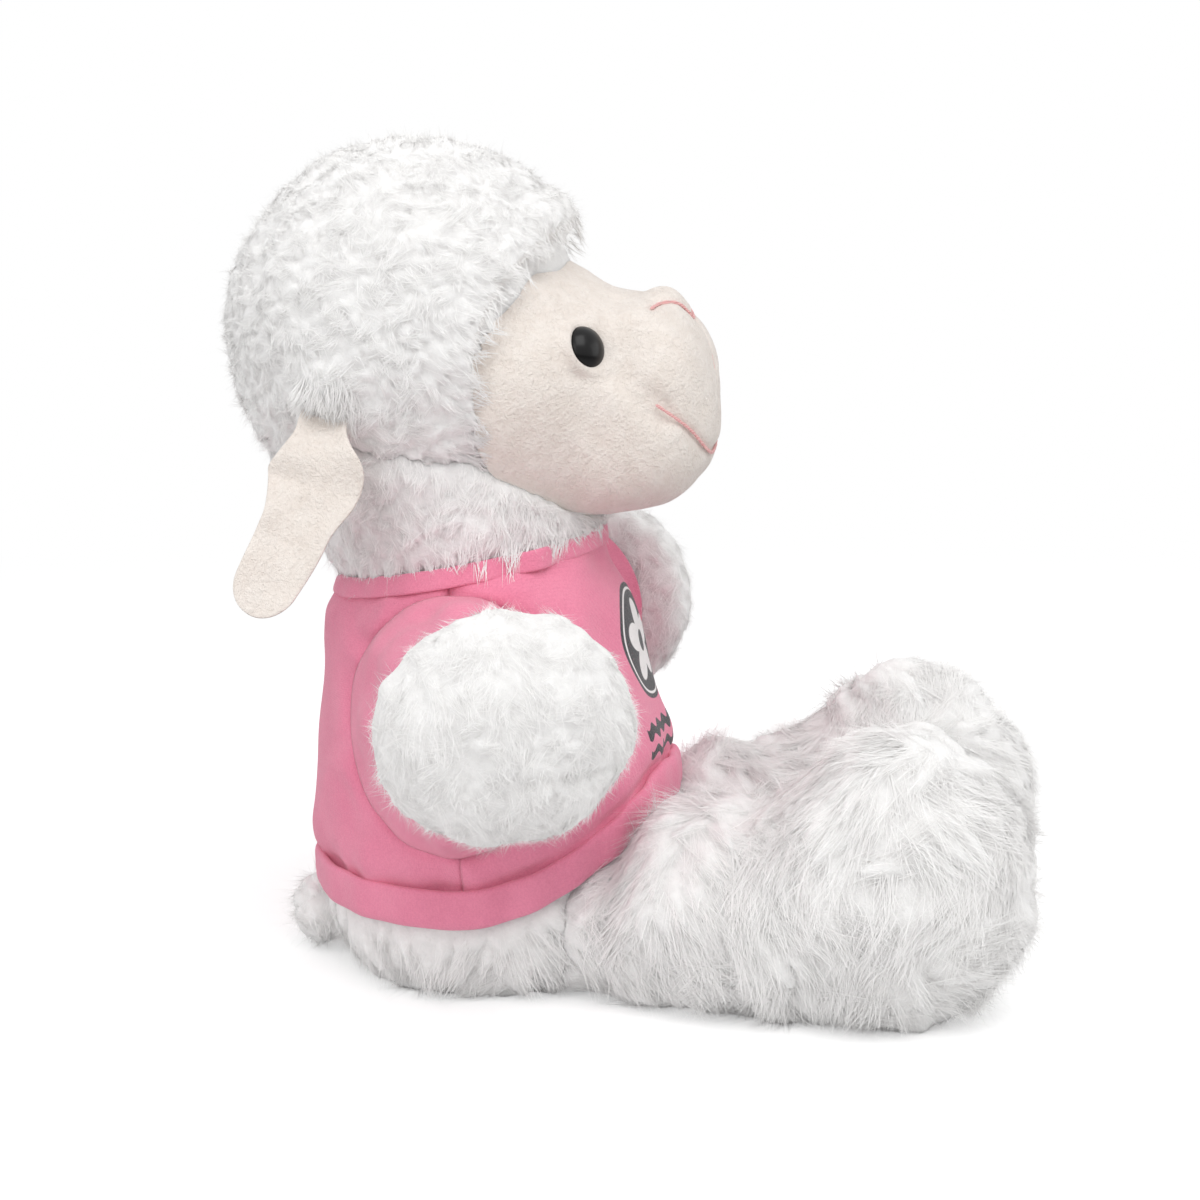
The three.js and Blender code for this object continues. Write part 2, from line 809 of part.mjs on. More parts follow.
function headSweep() {
  const segments = around + 6;
  const ballRadius = (headRadius + seamGap) / Math.cos(Math.PI / segments);
  const steps = 9;
  const edge = ballRadius * Math.sin(radians(34));
  const profile = [new THREE.Vector2(0, -ballRadius)];
  for (let i = 1; i <= steps; i++) {
    const out = (edge * i) / steps;
    profile.push(new THREE.Vector2(out, -Math.sqrt(ballRadius ** 2 - out ** 2)));
  }
  const chin = chinHeight - headCentre.z - seamGap;
  profile.push(new THREE.Vector2(edge, chin));
  profile.push(new THREE.Vector2(reach / 4, chin));
  profile.push(new THREE.Vector2(reach / 4, headRadius));
  profile.push(new THREE.Vector2(0, headRadius));
  const geometry = new THREE.LatheGeometry(profile, segments);
  geometry.rotateX(Math.PI / 2);
  geometry.translate(headCentre.x, headCentre.y, headCentre.z);
  return solidOf(geometry);
}

const carved = sockets.reduce((all, next) => all.add(next), headSweep());
parts.set("torso_fleece", [
  torsoGrown(0).subtract(torsoGrown(-fleeceThickness)).subtract(carved),
  fleeceColour,
]);
parts.set("torso_filling", [torsoGrown(-fleeceThickness - seamGap).subtract(carved), fillingColour]);

// T-shirt: a front and a back panel, a folded hem, a neckband and two sleeves

const neckline = (y) =>
  chinHeight - collarClearance - necklineSlope * (y + neckRadius - neckSetback);
const hemline = (y) =>
  hemSide + hemFrontRise * THREE.MathUtils.clamp((neckSetback - y) / (bellyRadius + neckSetback), 0, 1) ** 2;
const jerseyOuter = jerseyEase + jerseyThickness;

const armholeCentre = new THREE.Vector3(0, -armholeForward, neckHeight - shoulderDrop - armholeDrop);
const armholes = Object.values(sides)
  .map((side) =>
    cylinderAlongX(
      armholeHalfDepth,
      armholeHalfHeight,
      reach / 4,
      armholeCentre.clone().setX((side * reach) / 8),
    ),
  )
  .reduce((all, next) => all.add(next));
const bodyJersey = torsoGrown(jerseyOuter)
  .subtract(torsoGrown(jerseyEase))
  .intersect(
    slab(
      (y) => hemline(y) + hemHeight + seamGap / 2,
      (y) => neckline(y) - neckbandHeight - seamGap / 2,
    ),
  )
  .subtract(armholes);
parts.set("shirt_front_panel", [bodyJersey.trimByPlane([0, -1, 0], seamGap / 2), jerseyColour]);
parts.set("shirt_back_panel", [bodyJersey.trimByPlane([0, 1, 0], seamGap / 2), jerseyColour]);
parts.set("shirt_hem", [
  torsoGrown(jerseyEase + hemThickness)
    .subtract(torsoGrown(jerseyEase))
    .intersect(slab(hemline, (y) => hemline(y) + hemHeight - seamGap / 2)),
  jerseyColour,
]);
parts.set("shirt_neckband", [
  torsoGrown(jerseyEase + 1.5 * jerseyThickness)
    .subtract(torsoGrown(jerseyEase))
    .intersect(slab((y) => neckline(y) - neckbandHeight + seamGap / 2, neckline)),
  jerseyColour,
]);

function sleeve(side) {
  const { root, axis, flat, up } = armFrame(side);
  const cuff = root.clone().addScaledVector(axis, sleeveLength);
  const skin = (inset, overrun) => {
    const atHole = (inwards) => ({
      centre: armholeCentre.clone().setX(side * ((armholeTopWidth + armholeBottomWidth) / 2 - inwards)),
      side: new THREE.Vector3(0, side * (armholeHalfDepth - inset), 0),
      up: new THREE.Vector3(side * (armholeTopWidth - armholeBottomWidth) / 2, 0, armholeHalfHeight - inset),
    });
    const atCuff = (extra) => ({
      centre: cuff.clone().addScaledVector(axis, extra),
      side: flat.clone().multiplyScalar(sleeveHemRadius - inset),
      up: up.clone().multiplyScalar(sleeveHemRadius - inset),
    });
    const mouth = overrun ? [atCuff(0), atCuff(overrun)] : [atCuff(0)];
    return solidOf(loft([atHole(headRadius / 2 + overrun), atHole(0), ...mouth]));
  };
  return skin(0, 0).subtract(skin(jerseyThickness, 1)).subtract(torsoGrown(jerseyOuter + seamGap));
}

for (const [name, side] of Object.entries(sides)) {
  parts.set(`shirt_sleeve_${name}`, [sleeve(side), jerseyColour]);
}

// The toy, standing on Z = 0 with the middle of its length and width over the origin

const toy = new THREE.Group();
for (const [name, [solid, finish]] of parts) {
  const mesh = new THREE.Mesh(geometryOf(largest(solid)), new THREE.MeshStandardMaterial(finish));
  mesh.name = name;
  toy.add(mesh);
}
const box = new THREE.Box3().setFromObject(toy);
toy.position.y = -(box.min.y + box.max.y) / 2;

export default toy;
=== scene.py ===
"""A plush lamb in a pink jersey T-shirt: its looks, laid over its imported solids."""

import json
import math

import bpy
import numpy as np
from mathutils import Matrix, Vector


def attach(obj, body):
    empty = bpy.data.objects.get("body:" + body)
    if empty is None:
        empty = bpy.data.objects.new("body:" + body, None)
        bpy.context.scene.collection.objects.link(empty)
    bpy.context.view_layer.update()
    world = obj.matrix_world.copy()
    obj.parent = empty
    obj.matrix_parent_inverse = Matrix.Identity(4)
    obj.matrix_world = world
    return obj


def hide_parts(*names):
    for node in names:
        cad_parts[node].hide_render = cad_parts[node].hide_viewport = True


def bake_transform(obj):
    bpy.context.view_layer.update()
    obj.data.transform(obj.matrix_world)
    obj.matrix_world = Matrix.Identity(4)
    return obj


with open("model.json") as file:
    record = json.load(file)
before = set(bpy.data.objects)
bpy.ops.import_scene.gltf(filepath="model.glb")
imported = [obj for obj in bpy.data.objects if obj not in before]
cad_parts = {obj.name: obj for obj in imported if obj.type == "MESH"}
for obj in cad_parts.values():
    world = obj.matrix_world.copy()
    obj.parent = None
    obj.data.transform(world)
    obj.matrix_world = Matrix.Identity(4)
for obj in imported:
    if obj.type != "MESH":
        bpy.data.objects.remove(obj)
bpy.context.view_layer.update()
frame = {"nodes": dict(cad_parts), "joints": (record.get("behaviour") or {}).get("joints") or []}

MM = 0.001
SIDES = {"right": -1, "left": 1}
joint_place = {j["name"]: np.array(j["pos_m"]) / MM for j in frame["joints"]}

# The shapes below are worked out in millimetres, with Y = 0 at the torso's axis.
HEAD_SETBACK = 17
toy_shift = np.array([0, joint_place["head_turn"][1] - HEAD_SETBACK, 0])
head_centre = joint_place["head_turn"] - toy_shift
shoulder = {s: joint_place[f"arm_{s}_raise"] - toy_shift for s in SIDES}
hip = {s: joint_place[f"leg_{s}_swing"] - toy_shift for s in SIDES}
ear_root = {s: joint_place[f"ear_{s}_lift"] - toy_shift for s in SIDES}
tail_root = joint_place["tail_wag"] - toy_shift


# Camera

def place_camera(target, azimuth, elevation, distance, lens):
    """A camera that looks at target from a distance along an azimuth and an elevation in degrees."""
    turn, lift = math.radians(azimuth), math.radians(elevation)
    back = Vector((math.sin(turn) * math.cos(lift), -math.cos(turn) * math.cos(lift), math.sin(lift)))
    data = bpy.data.cameras.new("photo_camera")
    data.lens, data.sensor_width = lens, 36
    camera = bpy.data.objects.new("photo_camera", data)
    camera.location = Vector(target) + back * distance
    camera.rotation_mode = "QUATERNION"
    camera.rotation_quaternion = (-back).to_track_quat("-Z", "Y")
    bpy.context.scene.collection.objects.link(camera)
    bpy.context.scene.camera = camera


place_camera((np.array([0, -24.3, 85]) + toy_shift) * MM, -82, 10.5, 0.6, 79)


# Meshes

def mesh_piece(name, points, *face_sets, uv=None, smooth=True):
    """An object made of points in millimetres and arrays of faces with 3 or 4 corners each, with an
    optional place on the UV map per point."""
    mesh = bpy.data.meshes.new(name)
    mesh.vertices.add(len(points))
    mesh.vertices.foreach_set("co", ((points + toy_shift) * MM).astype(np.float32).ravel())
    corners = np.concatenate([faces.ravel() for faces in face_sets]).astype(np.int32)
    sizes = np.concatenate([np.full(len(faces), faces.shape[1]) for faces in face_sets])
    mesh.loops.add(len(corners))
    mesh.loops.foreach_set("vertex_index", corners)
    mesh.polygons.add(len(sizes))
    mesh.polygons.foreach_set("loop_start", np.concatenate([[0], np.cumsum(sizes)[:-1]]).astype(np.int32))
    mesh.polygons.foreach_set("use_smooth", np.full(len(sizes), smooth))
    mesh.update(calc_edges=True)
    if uv is not None:
        layer = mesh.uv_layers.new(name="OFBake")
        layer.data.foreach_set("uv", uv[corners].astype(np.float32).ravel())
    piece = bpy.data.objects.new(name, mesh)
    bpy.context.scene.collection.objects.link(piece)
    return piece


def grid_faces(rows, columns, wrap=True):
    """Four-cornered faces between neighbours on a grid of rows by columns, whose last column meets the
    first if it wraps."""
    row, column = np.meshgrid(np.arange(rows - 1), np.arange(columns - (not wrap)), indexing="ij")
    after = (column + 1) % columns
    here, above = row * columns, (row + 1) * columns
    return np.stack([here + column, here + after, above + after, above + column], -1).reshape(-1, 4)


def tube_faces(rows, columns):
    """The quads between a tube's rings, and a fan of triangles at each end to the two points that follow
    the rings."""
    around = np.arange(columns)
    after = (around + 1) % columns
    last = (rows - 1) * columns
    first_fan = np.stack([np.full(columns, rows * columns), after, around], -1)
    last_fan = np.stack([np.full(columns, rows * columns + 1), last + around, last + after], -1)
    return grid_faces(rows, columns), np.concatenate([first_fan, last_fan])


def closed_tube(name, grid, start=None, end=None):
    """A closed form: the rings of a grid of points, closed at each end to a point, or to the middle of the
    last ring."""
    start = grid[0].mean(0) if start is None else start
    end = grid[-1].mean(0) if end is None else end
    points = np.concatenate([grid.reshape(-1, 3), [start], [end]])
    return mesh_piece(name, points, *tube_faces(*grid.shape[:2]))


def closed_band(name, grid):
    """A closed ring-shaped form from a grid that meets itself both ways: its last row joins its first."""
    rows, columns = grid.shape[:2]
    return mesh_piece(name, grid.reshape(-1, 3), grid_faces(rows + 1, columns) % (rows * columns))


def outward(grid):
    """Unit normals of a grid that wraps around its second index: the step around crossed with the step
    along."""
    along = np.gradient(grid, axis=0)
    around = np.roll(grid, -1, 1) - np.roll(grid, 1, 1)
    normal = np.cross(around, along)
    return normal / (np.linalg.norm(normal, axis=2, keepdims=True) + 1e-9)


def unit(vectors):
    """Vectors scaled to a length of one."""
    return vectors / (np.linalg.norm(vectors, axis=-1, keepdims=True) + 1e-12)


def uneven(points, size, seed):
    """A smooth height from about -1 to 1: the sum of eight sine waves of about the given wavelength, in
    seeded directions and phases, over 3.2."""
    rng = np.random.default_rng(seed)
    ways = unit(rng.normal(size=(8, 3))) * (2 * np.pi / (size * rng.uniform(0.7, 1.4, (8, 1))))
    return np.sin(points @ ways.T + rng.uniform(0, 2 * np.pi, 8)).sum(-1) / 3.2


def smooth_step(start, end, x):
    """0 before start, 1 after end, and 3t^2 - 2t^3 between them."""
    t = np.clip((x - start) / (end - start), 0, 1)
    return t * t * (3 - 2 * t)


def full_turn(count):
    """Evenly spread angles all round."""
    return np.linspace(0, 2 * np.pi, count, endpoint=False)


def eased(x, *knots):
    """The value at x of a curve that eases by a smooth step from each knot (place, value) to the next."""
    value = np.full_like(x, knots[0][1], dtype=float)
    for (start, before), (end, after) in zip(knots, knots[1:]):
        value += (after - before) * smooth_step(start, end, x)
    return value


# Forms of the stuffed parts

def limb_rows(ball, length, rounding, middle):
    """Places along a limb: a quarter turn of its root ball, even steps along it, and a quarter turn of its
    rounded tip."""
    root = -ball * np.cos(np.linspace(0.12, np.pi / 2, 16))
    tip = length - rounding + rounding * np.sin(np.linspace(0, np.pi / 2 - 0.03, 44))
    return np.concatenate([root, np.linspace(0, length - rounding, middle)[1:-1], tip])


def end_share(place, ball, length, rounding):
    """The share of the full section left at a place: sqrt(1 - d^2), where d runs from 0 to 1 over each
    rounded end."""
    at_root = np.clip(-place / ball, 0, 1)
    at_tip = np.clip((place - length + rounding) / rounding, 0, 1)
    return np.sqrt(1 - at_root**2) * np.sqrt(1 - at_tip**2)


def limb_grid(root, axis, place, half_width, half_height, middle_height, around):
    """Rings of a limb at each place along its axis: centre + cos(angle) * half width sideways + sin(angle)
    * half height upwards. The centres lie on the axis, or at the middle heights if there are any."""
    flat = unit(np.cross([0, 0, 1], axis))
    up = np.cross(axis, flat)
    angle = full_turn(around)
    centre = root + place[:, None] * axis
    if middle_height is not None:
        centre[:, 2] = middle_height
    wide = half_width[:, None, None] * np.cos(angle)[None, :, None] * flat
    high = half_height[:, None, None] * np.sin(angle)[None, :, None] * up
    return centre[:, None, :] + wide + high


ARM_LENGTH = 51
ARM_DROP = {"right": 6.5, "left": -4}


def arm_axis(side):
    """The way an arm points: outwards, turned 24 degrees forwards, the right one a little down and the left
    one up."""
    turn = math.radians(24)
    return unit(np.array([SIDES[side] * math.cos(turn), -math.sin(turn), -ARM_DROP[side] / ARM_LENGTH]))


def arm_form(side):
    """The arm: a ball at the shoulder, a narrower upper arm, and a paw that is wider than it is high."""
    axis = arm_axis(side)
    ball, length, rounding = 15, ARM_LENGTH, 20
    place = limb_rows(ball, length, rounding, 56)
    share = end_share(place, ball, length, rounding)
    wide = eased(place, (5, 14), (20, 16), (31, 27.6)) * share
    high = eased(place, (5, 14), (20, 16), (31, 25.3)) * share
    return limb_grid(shoulder[side], axis, place, wide, high, None, 180), axis


def leg_form(side):
    """The leg: a ball at the hip, a thigh that settles on the floor, and a foot that turns up."""
    sign = SIDES[side]
    turn = math.radians(10)
    axis = np.array([sign * math.sin(turn), -math.cos(turn), 0])
    ball, length, rounding = 16.5, 96, 33
    place = limb_rows(ball, length, rounding, 84)
    share = end_share(place, ball, length, rounding)
    floor = 3.6
    wide = eased(place, (4, 15.5), (19, 21), (63, 23)) * share
    top = eased(place, (4, hip[side][2] + 16), (19, 45.5), (36, 46.5), (63, 65))
    bottom = eased(place, (4, hip[side][2] - 16), (15, floor - 4.5))
    return limb_grid(hip[side], axis, place, wide, (top - bottom) / 2 * share, (top + bottom) / 2, 220), axis


def tail_form():
    """The tail: a small ball-ended stub that points backwards."""
    ball, length, rounding = 7.5, 13, 7.6
    place = limb_rows(ball, length, rounding, 14)
    radius = eased(place, (3, 7.2), (8, 8.4)) * end_share(place, ball, length, rounding)
    return limb_grid(tail_root, np.array([0.0, 1, 0]), place, radius, radius, None, 90)


HEAD_RADIUS = 43


def ball_ways(rows, columns):
    """Directions all round, in rings about the line from back to front."""
    polar = np.linspace(0.015, np.pi - 0.015, rows)
    angle = full_turn(columns)
    return np.stack([
        np.sin(polar)[:, None] * np.cos(angle),
        np.repeat(np.cos(polar)[:, None], columns, 1),
        np.sin(polar)[:, None] * np.sin(angle),
    ], -1)


def head_form():
    """The head: a ball whose poles point forwards and backwards."""
    return head_centre + ball_ways(210, 370) * HEAD_RADIUS


def catmull_rom(knots, count):
    """Points on a uniform Catmull-Rom curve through the knots."""
    knots = np.array(knots, float)
    padded = np.concatenate([knots[:1], knots, knots[-1:]])
    t = np.linspace(0, len(knots) - 1, count)
    i = np.minimum(t.astype(int), len(knots) - 2)
    f = (t - i)[:, None]
    a, b, c, d = (padded[i + k] for k in range(4))
    return 0.5 * (2 * b + (c - a) * f + (2 * a - 5 * b + 4 * c - d) * f**2 + (3 * b - a - 3 * c + d) * f**3)


TORSO_AROUND = 240
SEAT_HEIGHT, SEAT_RADIUS, BASE_RADIUS = 24, 38.5, 25
torso_side = catmull_rom([(SEAT_RADIUS, SEAT_HEIGHT), (39.5, 45), (34, 82), (28, 100), (28, 130)], 200)
TORSO_WIDTH_RATIO = 1.07
NECK_SETBACK = 4.5


def torso_radius(z):
    """The torso's depth from its axis: an arc up to the seat's height, and a curve through belly, chest and
    neck above it."""
    arc = np.clip(1 - z / SEAT_HEIGHT, -1, 1)
    seat = BASE_RADIUS + (SEAT_RADIUS - BASE_RADIUS) * np.sqrt(1 - arc**2)
    return np.where(z < SEAT_HEIGHT, seat, np.interp(z, torso_side[:, 1], torso_side[:, 0]))


def torso_lean(z):
    """How far the torso's middle lies behind its axis at a height."""
    return NECK_SETBACK * smooth_step(45, 100, z)


def torso_point(turn, z, ease):
    """The point at a turn from the front, a height, and a distance off the torso, whose sections are
    ellipses."""
    radius = torso_radius(z) + ease
    return np.stack([TORSO_WIDTH_RATIO * radius * np.sin(turn), torso_lean(z) - radius * np.cos(turn), z], -1)


def torso_form():
    """The torso's rings from just above its flat base to inside the neck."""
    base = SEAT_HEIGHT * (1 - np.cos(np.linspace(0.05, np.pi / 2, 50)))
    z = np.concatenate([base, np.linspace(SEAT_HEIGHT, 112, 60)[1:]])
    turn = full_turn(TORSO_AROUND)
    return torso_point(turn, z[:, None] + 0 * turn, 0)


# Form of the face

FACE_LOBES = (
    # centre from the head's centre, half sizes, pitch in degrees, squareness
    ((0, -22.5, -11.3), (35, 27.5, 29.7), 0, 2),
    ((0, -39.7, -15.6), (26, 28.3, 24.7), -3, 2.8),
    ((0, -55.6, 2), (9, 6, 8), -3, 2),
)
EYE_DENT = (23.5, -49, -1.5)
CHEEKS_MIDDLE, MUZZLE_MIDDLE = np.array(FACE_LOBES[0][0]), np.array(FACE_LOBES[1][0])
face_centre = head_centre + [0, (CHEEKS_MIDDLE[1] + MUZZLE_MIDDLE[1]) / 2, CHEEKS_MIDDLE[2]]
muzzle_centre = head_centre + MUZZLE_MIDDLE


def face_field(points):
    """Above 1 inside the face: the sum of exp(-13 (size - 1)) over three lobes, where size is 1 on a lobe's
    own surface, less 2.2 exp(-(distance / 5.5)^2) ahead of each eye."""
    total = 0
    for centre, half, pitch, squareness in FACE_LOBES:
        p = points - head_centre - np.array(centre)
        turn = math.radians(-pitch)
        y = p[..., 1] * math.cos(turn) - p[..., 2] * math.sin(turn)
        z = p[..., 1] * math.sin(turn) + p[..., 2] * math.cos(turn)
        parts = np.abs(np.stack([p[..., 0], y, z], -1) / np.array(half)) ** squareness
        total = total + np.exp(-13 * (parts.sum(-1) ** (1 / squareness) - 1))
    p = points - head_centre
    away = np.stack([np.abs(p[..., 0]), p[..., 1], p[..., 2]], -1) - np.array(EYE_DENT)
    return total - 2.2 * np.exp(-((away / 5.5) ** 2).sum(-1))


def face_surface(origin, ways):
    """Where rays from an inner point leave the face, found by halving the interval 30 times."""
    near, far = np.zeros(ways.shape[:-1]), np.full(ways.shape[:-1], 90.0)
    for _ in range(30):
        middle = (near + far) / 2
        inside = face_field(origin + ways * middle[..., None]) > 1
        near, far = np.where(inside, middle, near), np.where(inside, far, middle)
    return origin + ways * near[..., None]


def bearings(turn, lift):
    """Directions turned from straight ahead and lifted, in degrees."""
    turn, lift = np.radians(turn), np.radians(lift)
    return np.stack([np.sin(turn) * np.cos(lift), -np.cos(turn) * np.cos(lift), np.sin(lift)], -1)


def stitch_path(knots, count):
    """A curve on the face through bearings from the muzzle's centre."""
    path = catmull_rom(knots, count)
    return face_surface(muzzle_centre, bearings(path[:, 0], path[:, 1]))


nose_path = stitch_path([(-42, 48), (-28, 51), (-14, 48), (0, 40), (14, 48), (28, 51), (42, 48)], 160)
lip_path = stitch_path([(0, 39), (0, 12), (0, -16)], 80)
mouth_path = stitch_path([(-54, 4), (-39, -6), (-22, -17), (0, -22), (22, -17), (39, -6), (54, 4)], 160)
eye_spot = {s: face_surface(face_centre, bearings(SIDES[s] * 65.5, 20.5)[None])[0] for s in SIDES}
eye_axis = {s: bearings(SIDES[s] * 36.0, 20.0) for s in SIDES}
CREASE = [(11.7, -47.4, 10.1), (19, -46.6, 6.3), (23.6, -47, 0.2), (25.2, -49.2, -6.5), (24.1, -54.5, -12.1),
          (22.3, -58.4, -14.8)]
crease_path = {s: head_centre + catmull_rom(CREASE, 60) * [SIDES[s], 1, 1] for s in SIDES}


FACE_SEAM_RADIUS, FACE_SEAM_FORWARD, FACE_SEAM_DROP = 44, 62, 9


def behind_seam(points):
    """How far points lie behind the face's seam, which is a cylinder across the head."""
    away = points - head_centre
    return np.hypot(away[..., 1] + FACE_SEAM_FORWARD, away[..., 2] + FACE_SEAM_DROP) - FACE_SEAM_RADIUS


def distance_to(points, path):
    """The distance from each point of a grid to the nearest point of a path."""
    flat = points.reshape(-1, 3)
    nearest = np.full(len(flat), 1e9)
    for spot in path:
        nearest = np.minimum(nearest, ((flat - spot) ** 2).sum(1))
    return np.sqrt(nearest).reshape(points.shape[:-1])


def eye_back(side):
    """The way from an eye's middle to its back and lower edge, square to its axis."""
    way = np.array([0, 1.0, -0.35])
    return unit(way - (way @ eye_axis[side]) * eye_axis[side])


def face_form():
    """The face, drawn in along its stitched lines, in a soft crease ahead of each eye, and behind its seam,
    with the plush standing up a little where it laps an eye's rim."""
    grid = face_surface(face_centre, ball_ways(190, 270))
    normal = outward(grid)
    off = uneven(grid, 15, 17) * 0.3 + uneven(grid, 5, 18) * 0.07
    for path, depth, width in ((nose_path, 0.75, 1.3), (lip_path, 0.6, 1.1), (mouth_path, 0.8, 1.5)):
        off -= depth * np.exp(-(distance_to(grid, path[::2]) / width) ** 2)
    for side, spot in eye_spot.items():
        off -= 1.7 * np.exp(-(distance_to(grid, crease_path[side]) / 3.4) ** 2)
        away = grid - spot + eye_axis[side] * 1.3
        height = away @ eye_axis[side]
        reach = np.linalg.norm(away - height[..., None] * eye_axis[side], axis=2)
        behind = smooth_step(-0.3, 1.0, away @ eye_back(side) / np.maximum(reach, 1.0))
        off += (0.4 + 1.8 * behind) * np.exp(-((reach - 5.7 + 0.5 * behind) / 1.1) ** 2) * (height > -6)
    off = np.maximum(off, -1.5) - 3.5 * smooth_step(0.5, 4, behind_seam(grid))
    return grid + normal * off[..., None]


# Fleece: a relief of overlapping tufts on a skin, and hairs that follow them

def sampled(values, row, column):
    """A grid's values at fractional rows and columns, mixed linearly between the four nearest. Columns wrap
    round."""
    columns = values.shape[1]
    row, column = np.clip(row, 0, len(values) - 1.001), column % columns
    r, c = row.astype(int), np.minimum(column.astype(int), columns - 1)
    after = (c + 1) % columns
    f, g = (row - r)[:, None], (column - c)[:, None]
    low = values[r, c] * (1 - g) + values[r, after] * g
    high = values[r + 1, c] * (1 - g) + values[r + 1, after] * g
    return low * (1 - f) + high * f


def even_spots(grid, count, seed):
    """Rows and columns of evenly spread places on a grid. The golden-ratio sequence's two coordinates are
    read as a share of the area along the grid and as a share of the way around it."""
    step = np.roll(grid, -1, 1)[:-1] - grid[:-1]
    area = np.linalg.norm(np.cross(step, grid[1:] - grid[:-1]), axis=2).sum(1)
    total = np.concatenate([[0], np.cumsum(area)])
    ratio = 1.32471795724
    number = np.arange(count) + np.random.default_rng(seed).uniform()
    row = np.interp((number / ratio) % 1 * total[-1], total, np.arange(len(total)))
    return row, (number / ratio**2) % 1 * grid.shape[1]


def tufts(grid, count, seed, comb, size, stray=0.5, where=None):
    """Tufts spread over a form. Each has a spot, a direction along the surface near comb(spot), and its own
    share of the given length, half width and height."""
    rng = np.random.default_rng(seed)
    row, column = even_spots(grid, count, seed)
    spot, normal = sampled(grid, row, column), unit(sampled(outward(grid), row, column))
    ahead = comb(spot) + rng.normal(0, stray, spot.shape)
    ahead = unit(ahead - (ahead * normal).sum(1, keepdims=True) * normal)
    share = rng.uniform(0.72, 1.28, count)
    length, width, height = size
    tuft = {
        "row": row, "column": column, "spot": spot, "normal": normal, "ahead": ahead,
        "across": np.cross(normal, ahead), "length": length * share, "width": width * share,
        "height": height * rng.uniform(0.6, 1.15, count),
    }
    kept = where(spot) if where else slice(None)
    return {key: values[kept] for key, values in tuft.items()}


def tuft_height(along, side):
    """A tuft's height as a share: a slow rise from its root and a steep fall at its tip, times sqrt(1 -
    side^2) across a half width that narrows towards the tip. along is 0 at its spot and 1 at its tip."""
    narrow = 1 - 0.72 * np.clip(along, 0, 1) ** 1.4
    dome = np.sqrt(np.maximum(0, 1 - (side / narrow) ** 2))
    return smooth_step(-0.4, 0.5, along) * (1 - smooth_step(0.78, 1.0, along)) * dome


def relief(grid, tuft):
    """The greatest tuft height at each point of a grid. Each tuft is worked out on a window of rows and
    columns that holds it, together with all others whose windows are as wide."""
    rows, columns = grid.shape[:2]
    height = np.zeros((rows, columns))
    row_step = np.linalg.norm(np.gradient(grid, axis=0), axis=2).mean(1)
    ring_step = np.linalg.norm(np.roll(grid, -1, 1) - grid, axis=2).mean(1)
    row, column = np.rint(tuft["row"]).astype(int), np.rint(tuft["column"]).astype(int)
    reach = 1.05 * tuft["length"]
    deep = np.ceil(reach / row_step[row]).astype(int) + 1
    nearby = [ring_step[np.clip(row + way, 0, rows - 1)] for way in (-deep, 0, deep)]
    half = np.minimum(reach / np.min(nearby, 0) + 1, columns // 2)
    window = np.minimum(2 ** np.ceil(np.log2(half)), columns // 2).astype(int)
    for size in np.unique(window):
        pick = np.nonzero(window == size)[0]
        most = deep[pick].max()
        down, aside = np.meshgrid(np.arange(-most, most + 1), np.arange(-size, size + 1), indexing="ij")
        r = np.clip(row[pick, None, None] + down, 0, rows - 1)
        c = (column[pick, None, None] + aside) % columns
        own = {key: values[pick, None, None] for key, values in tuft.items()}
        away = grid[r, c] - own["spot"]
        along = (away * own["ahead"]).sum(-1) / own["length"]
        side = (away * own["across"]).sum(-1) / own["width"]
        near = np.abs((away * own["normal"]).sum(-1)) < 0.7 * reach[pick, None, None]
        value = tuft_height(along, side) * near * own["height"]
        np.maximum.at(height, (r.ravel(), c.ravel()), value.ravel())
    return height


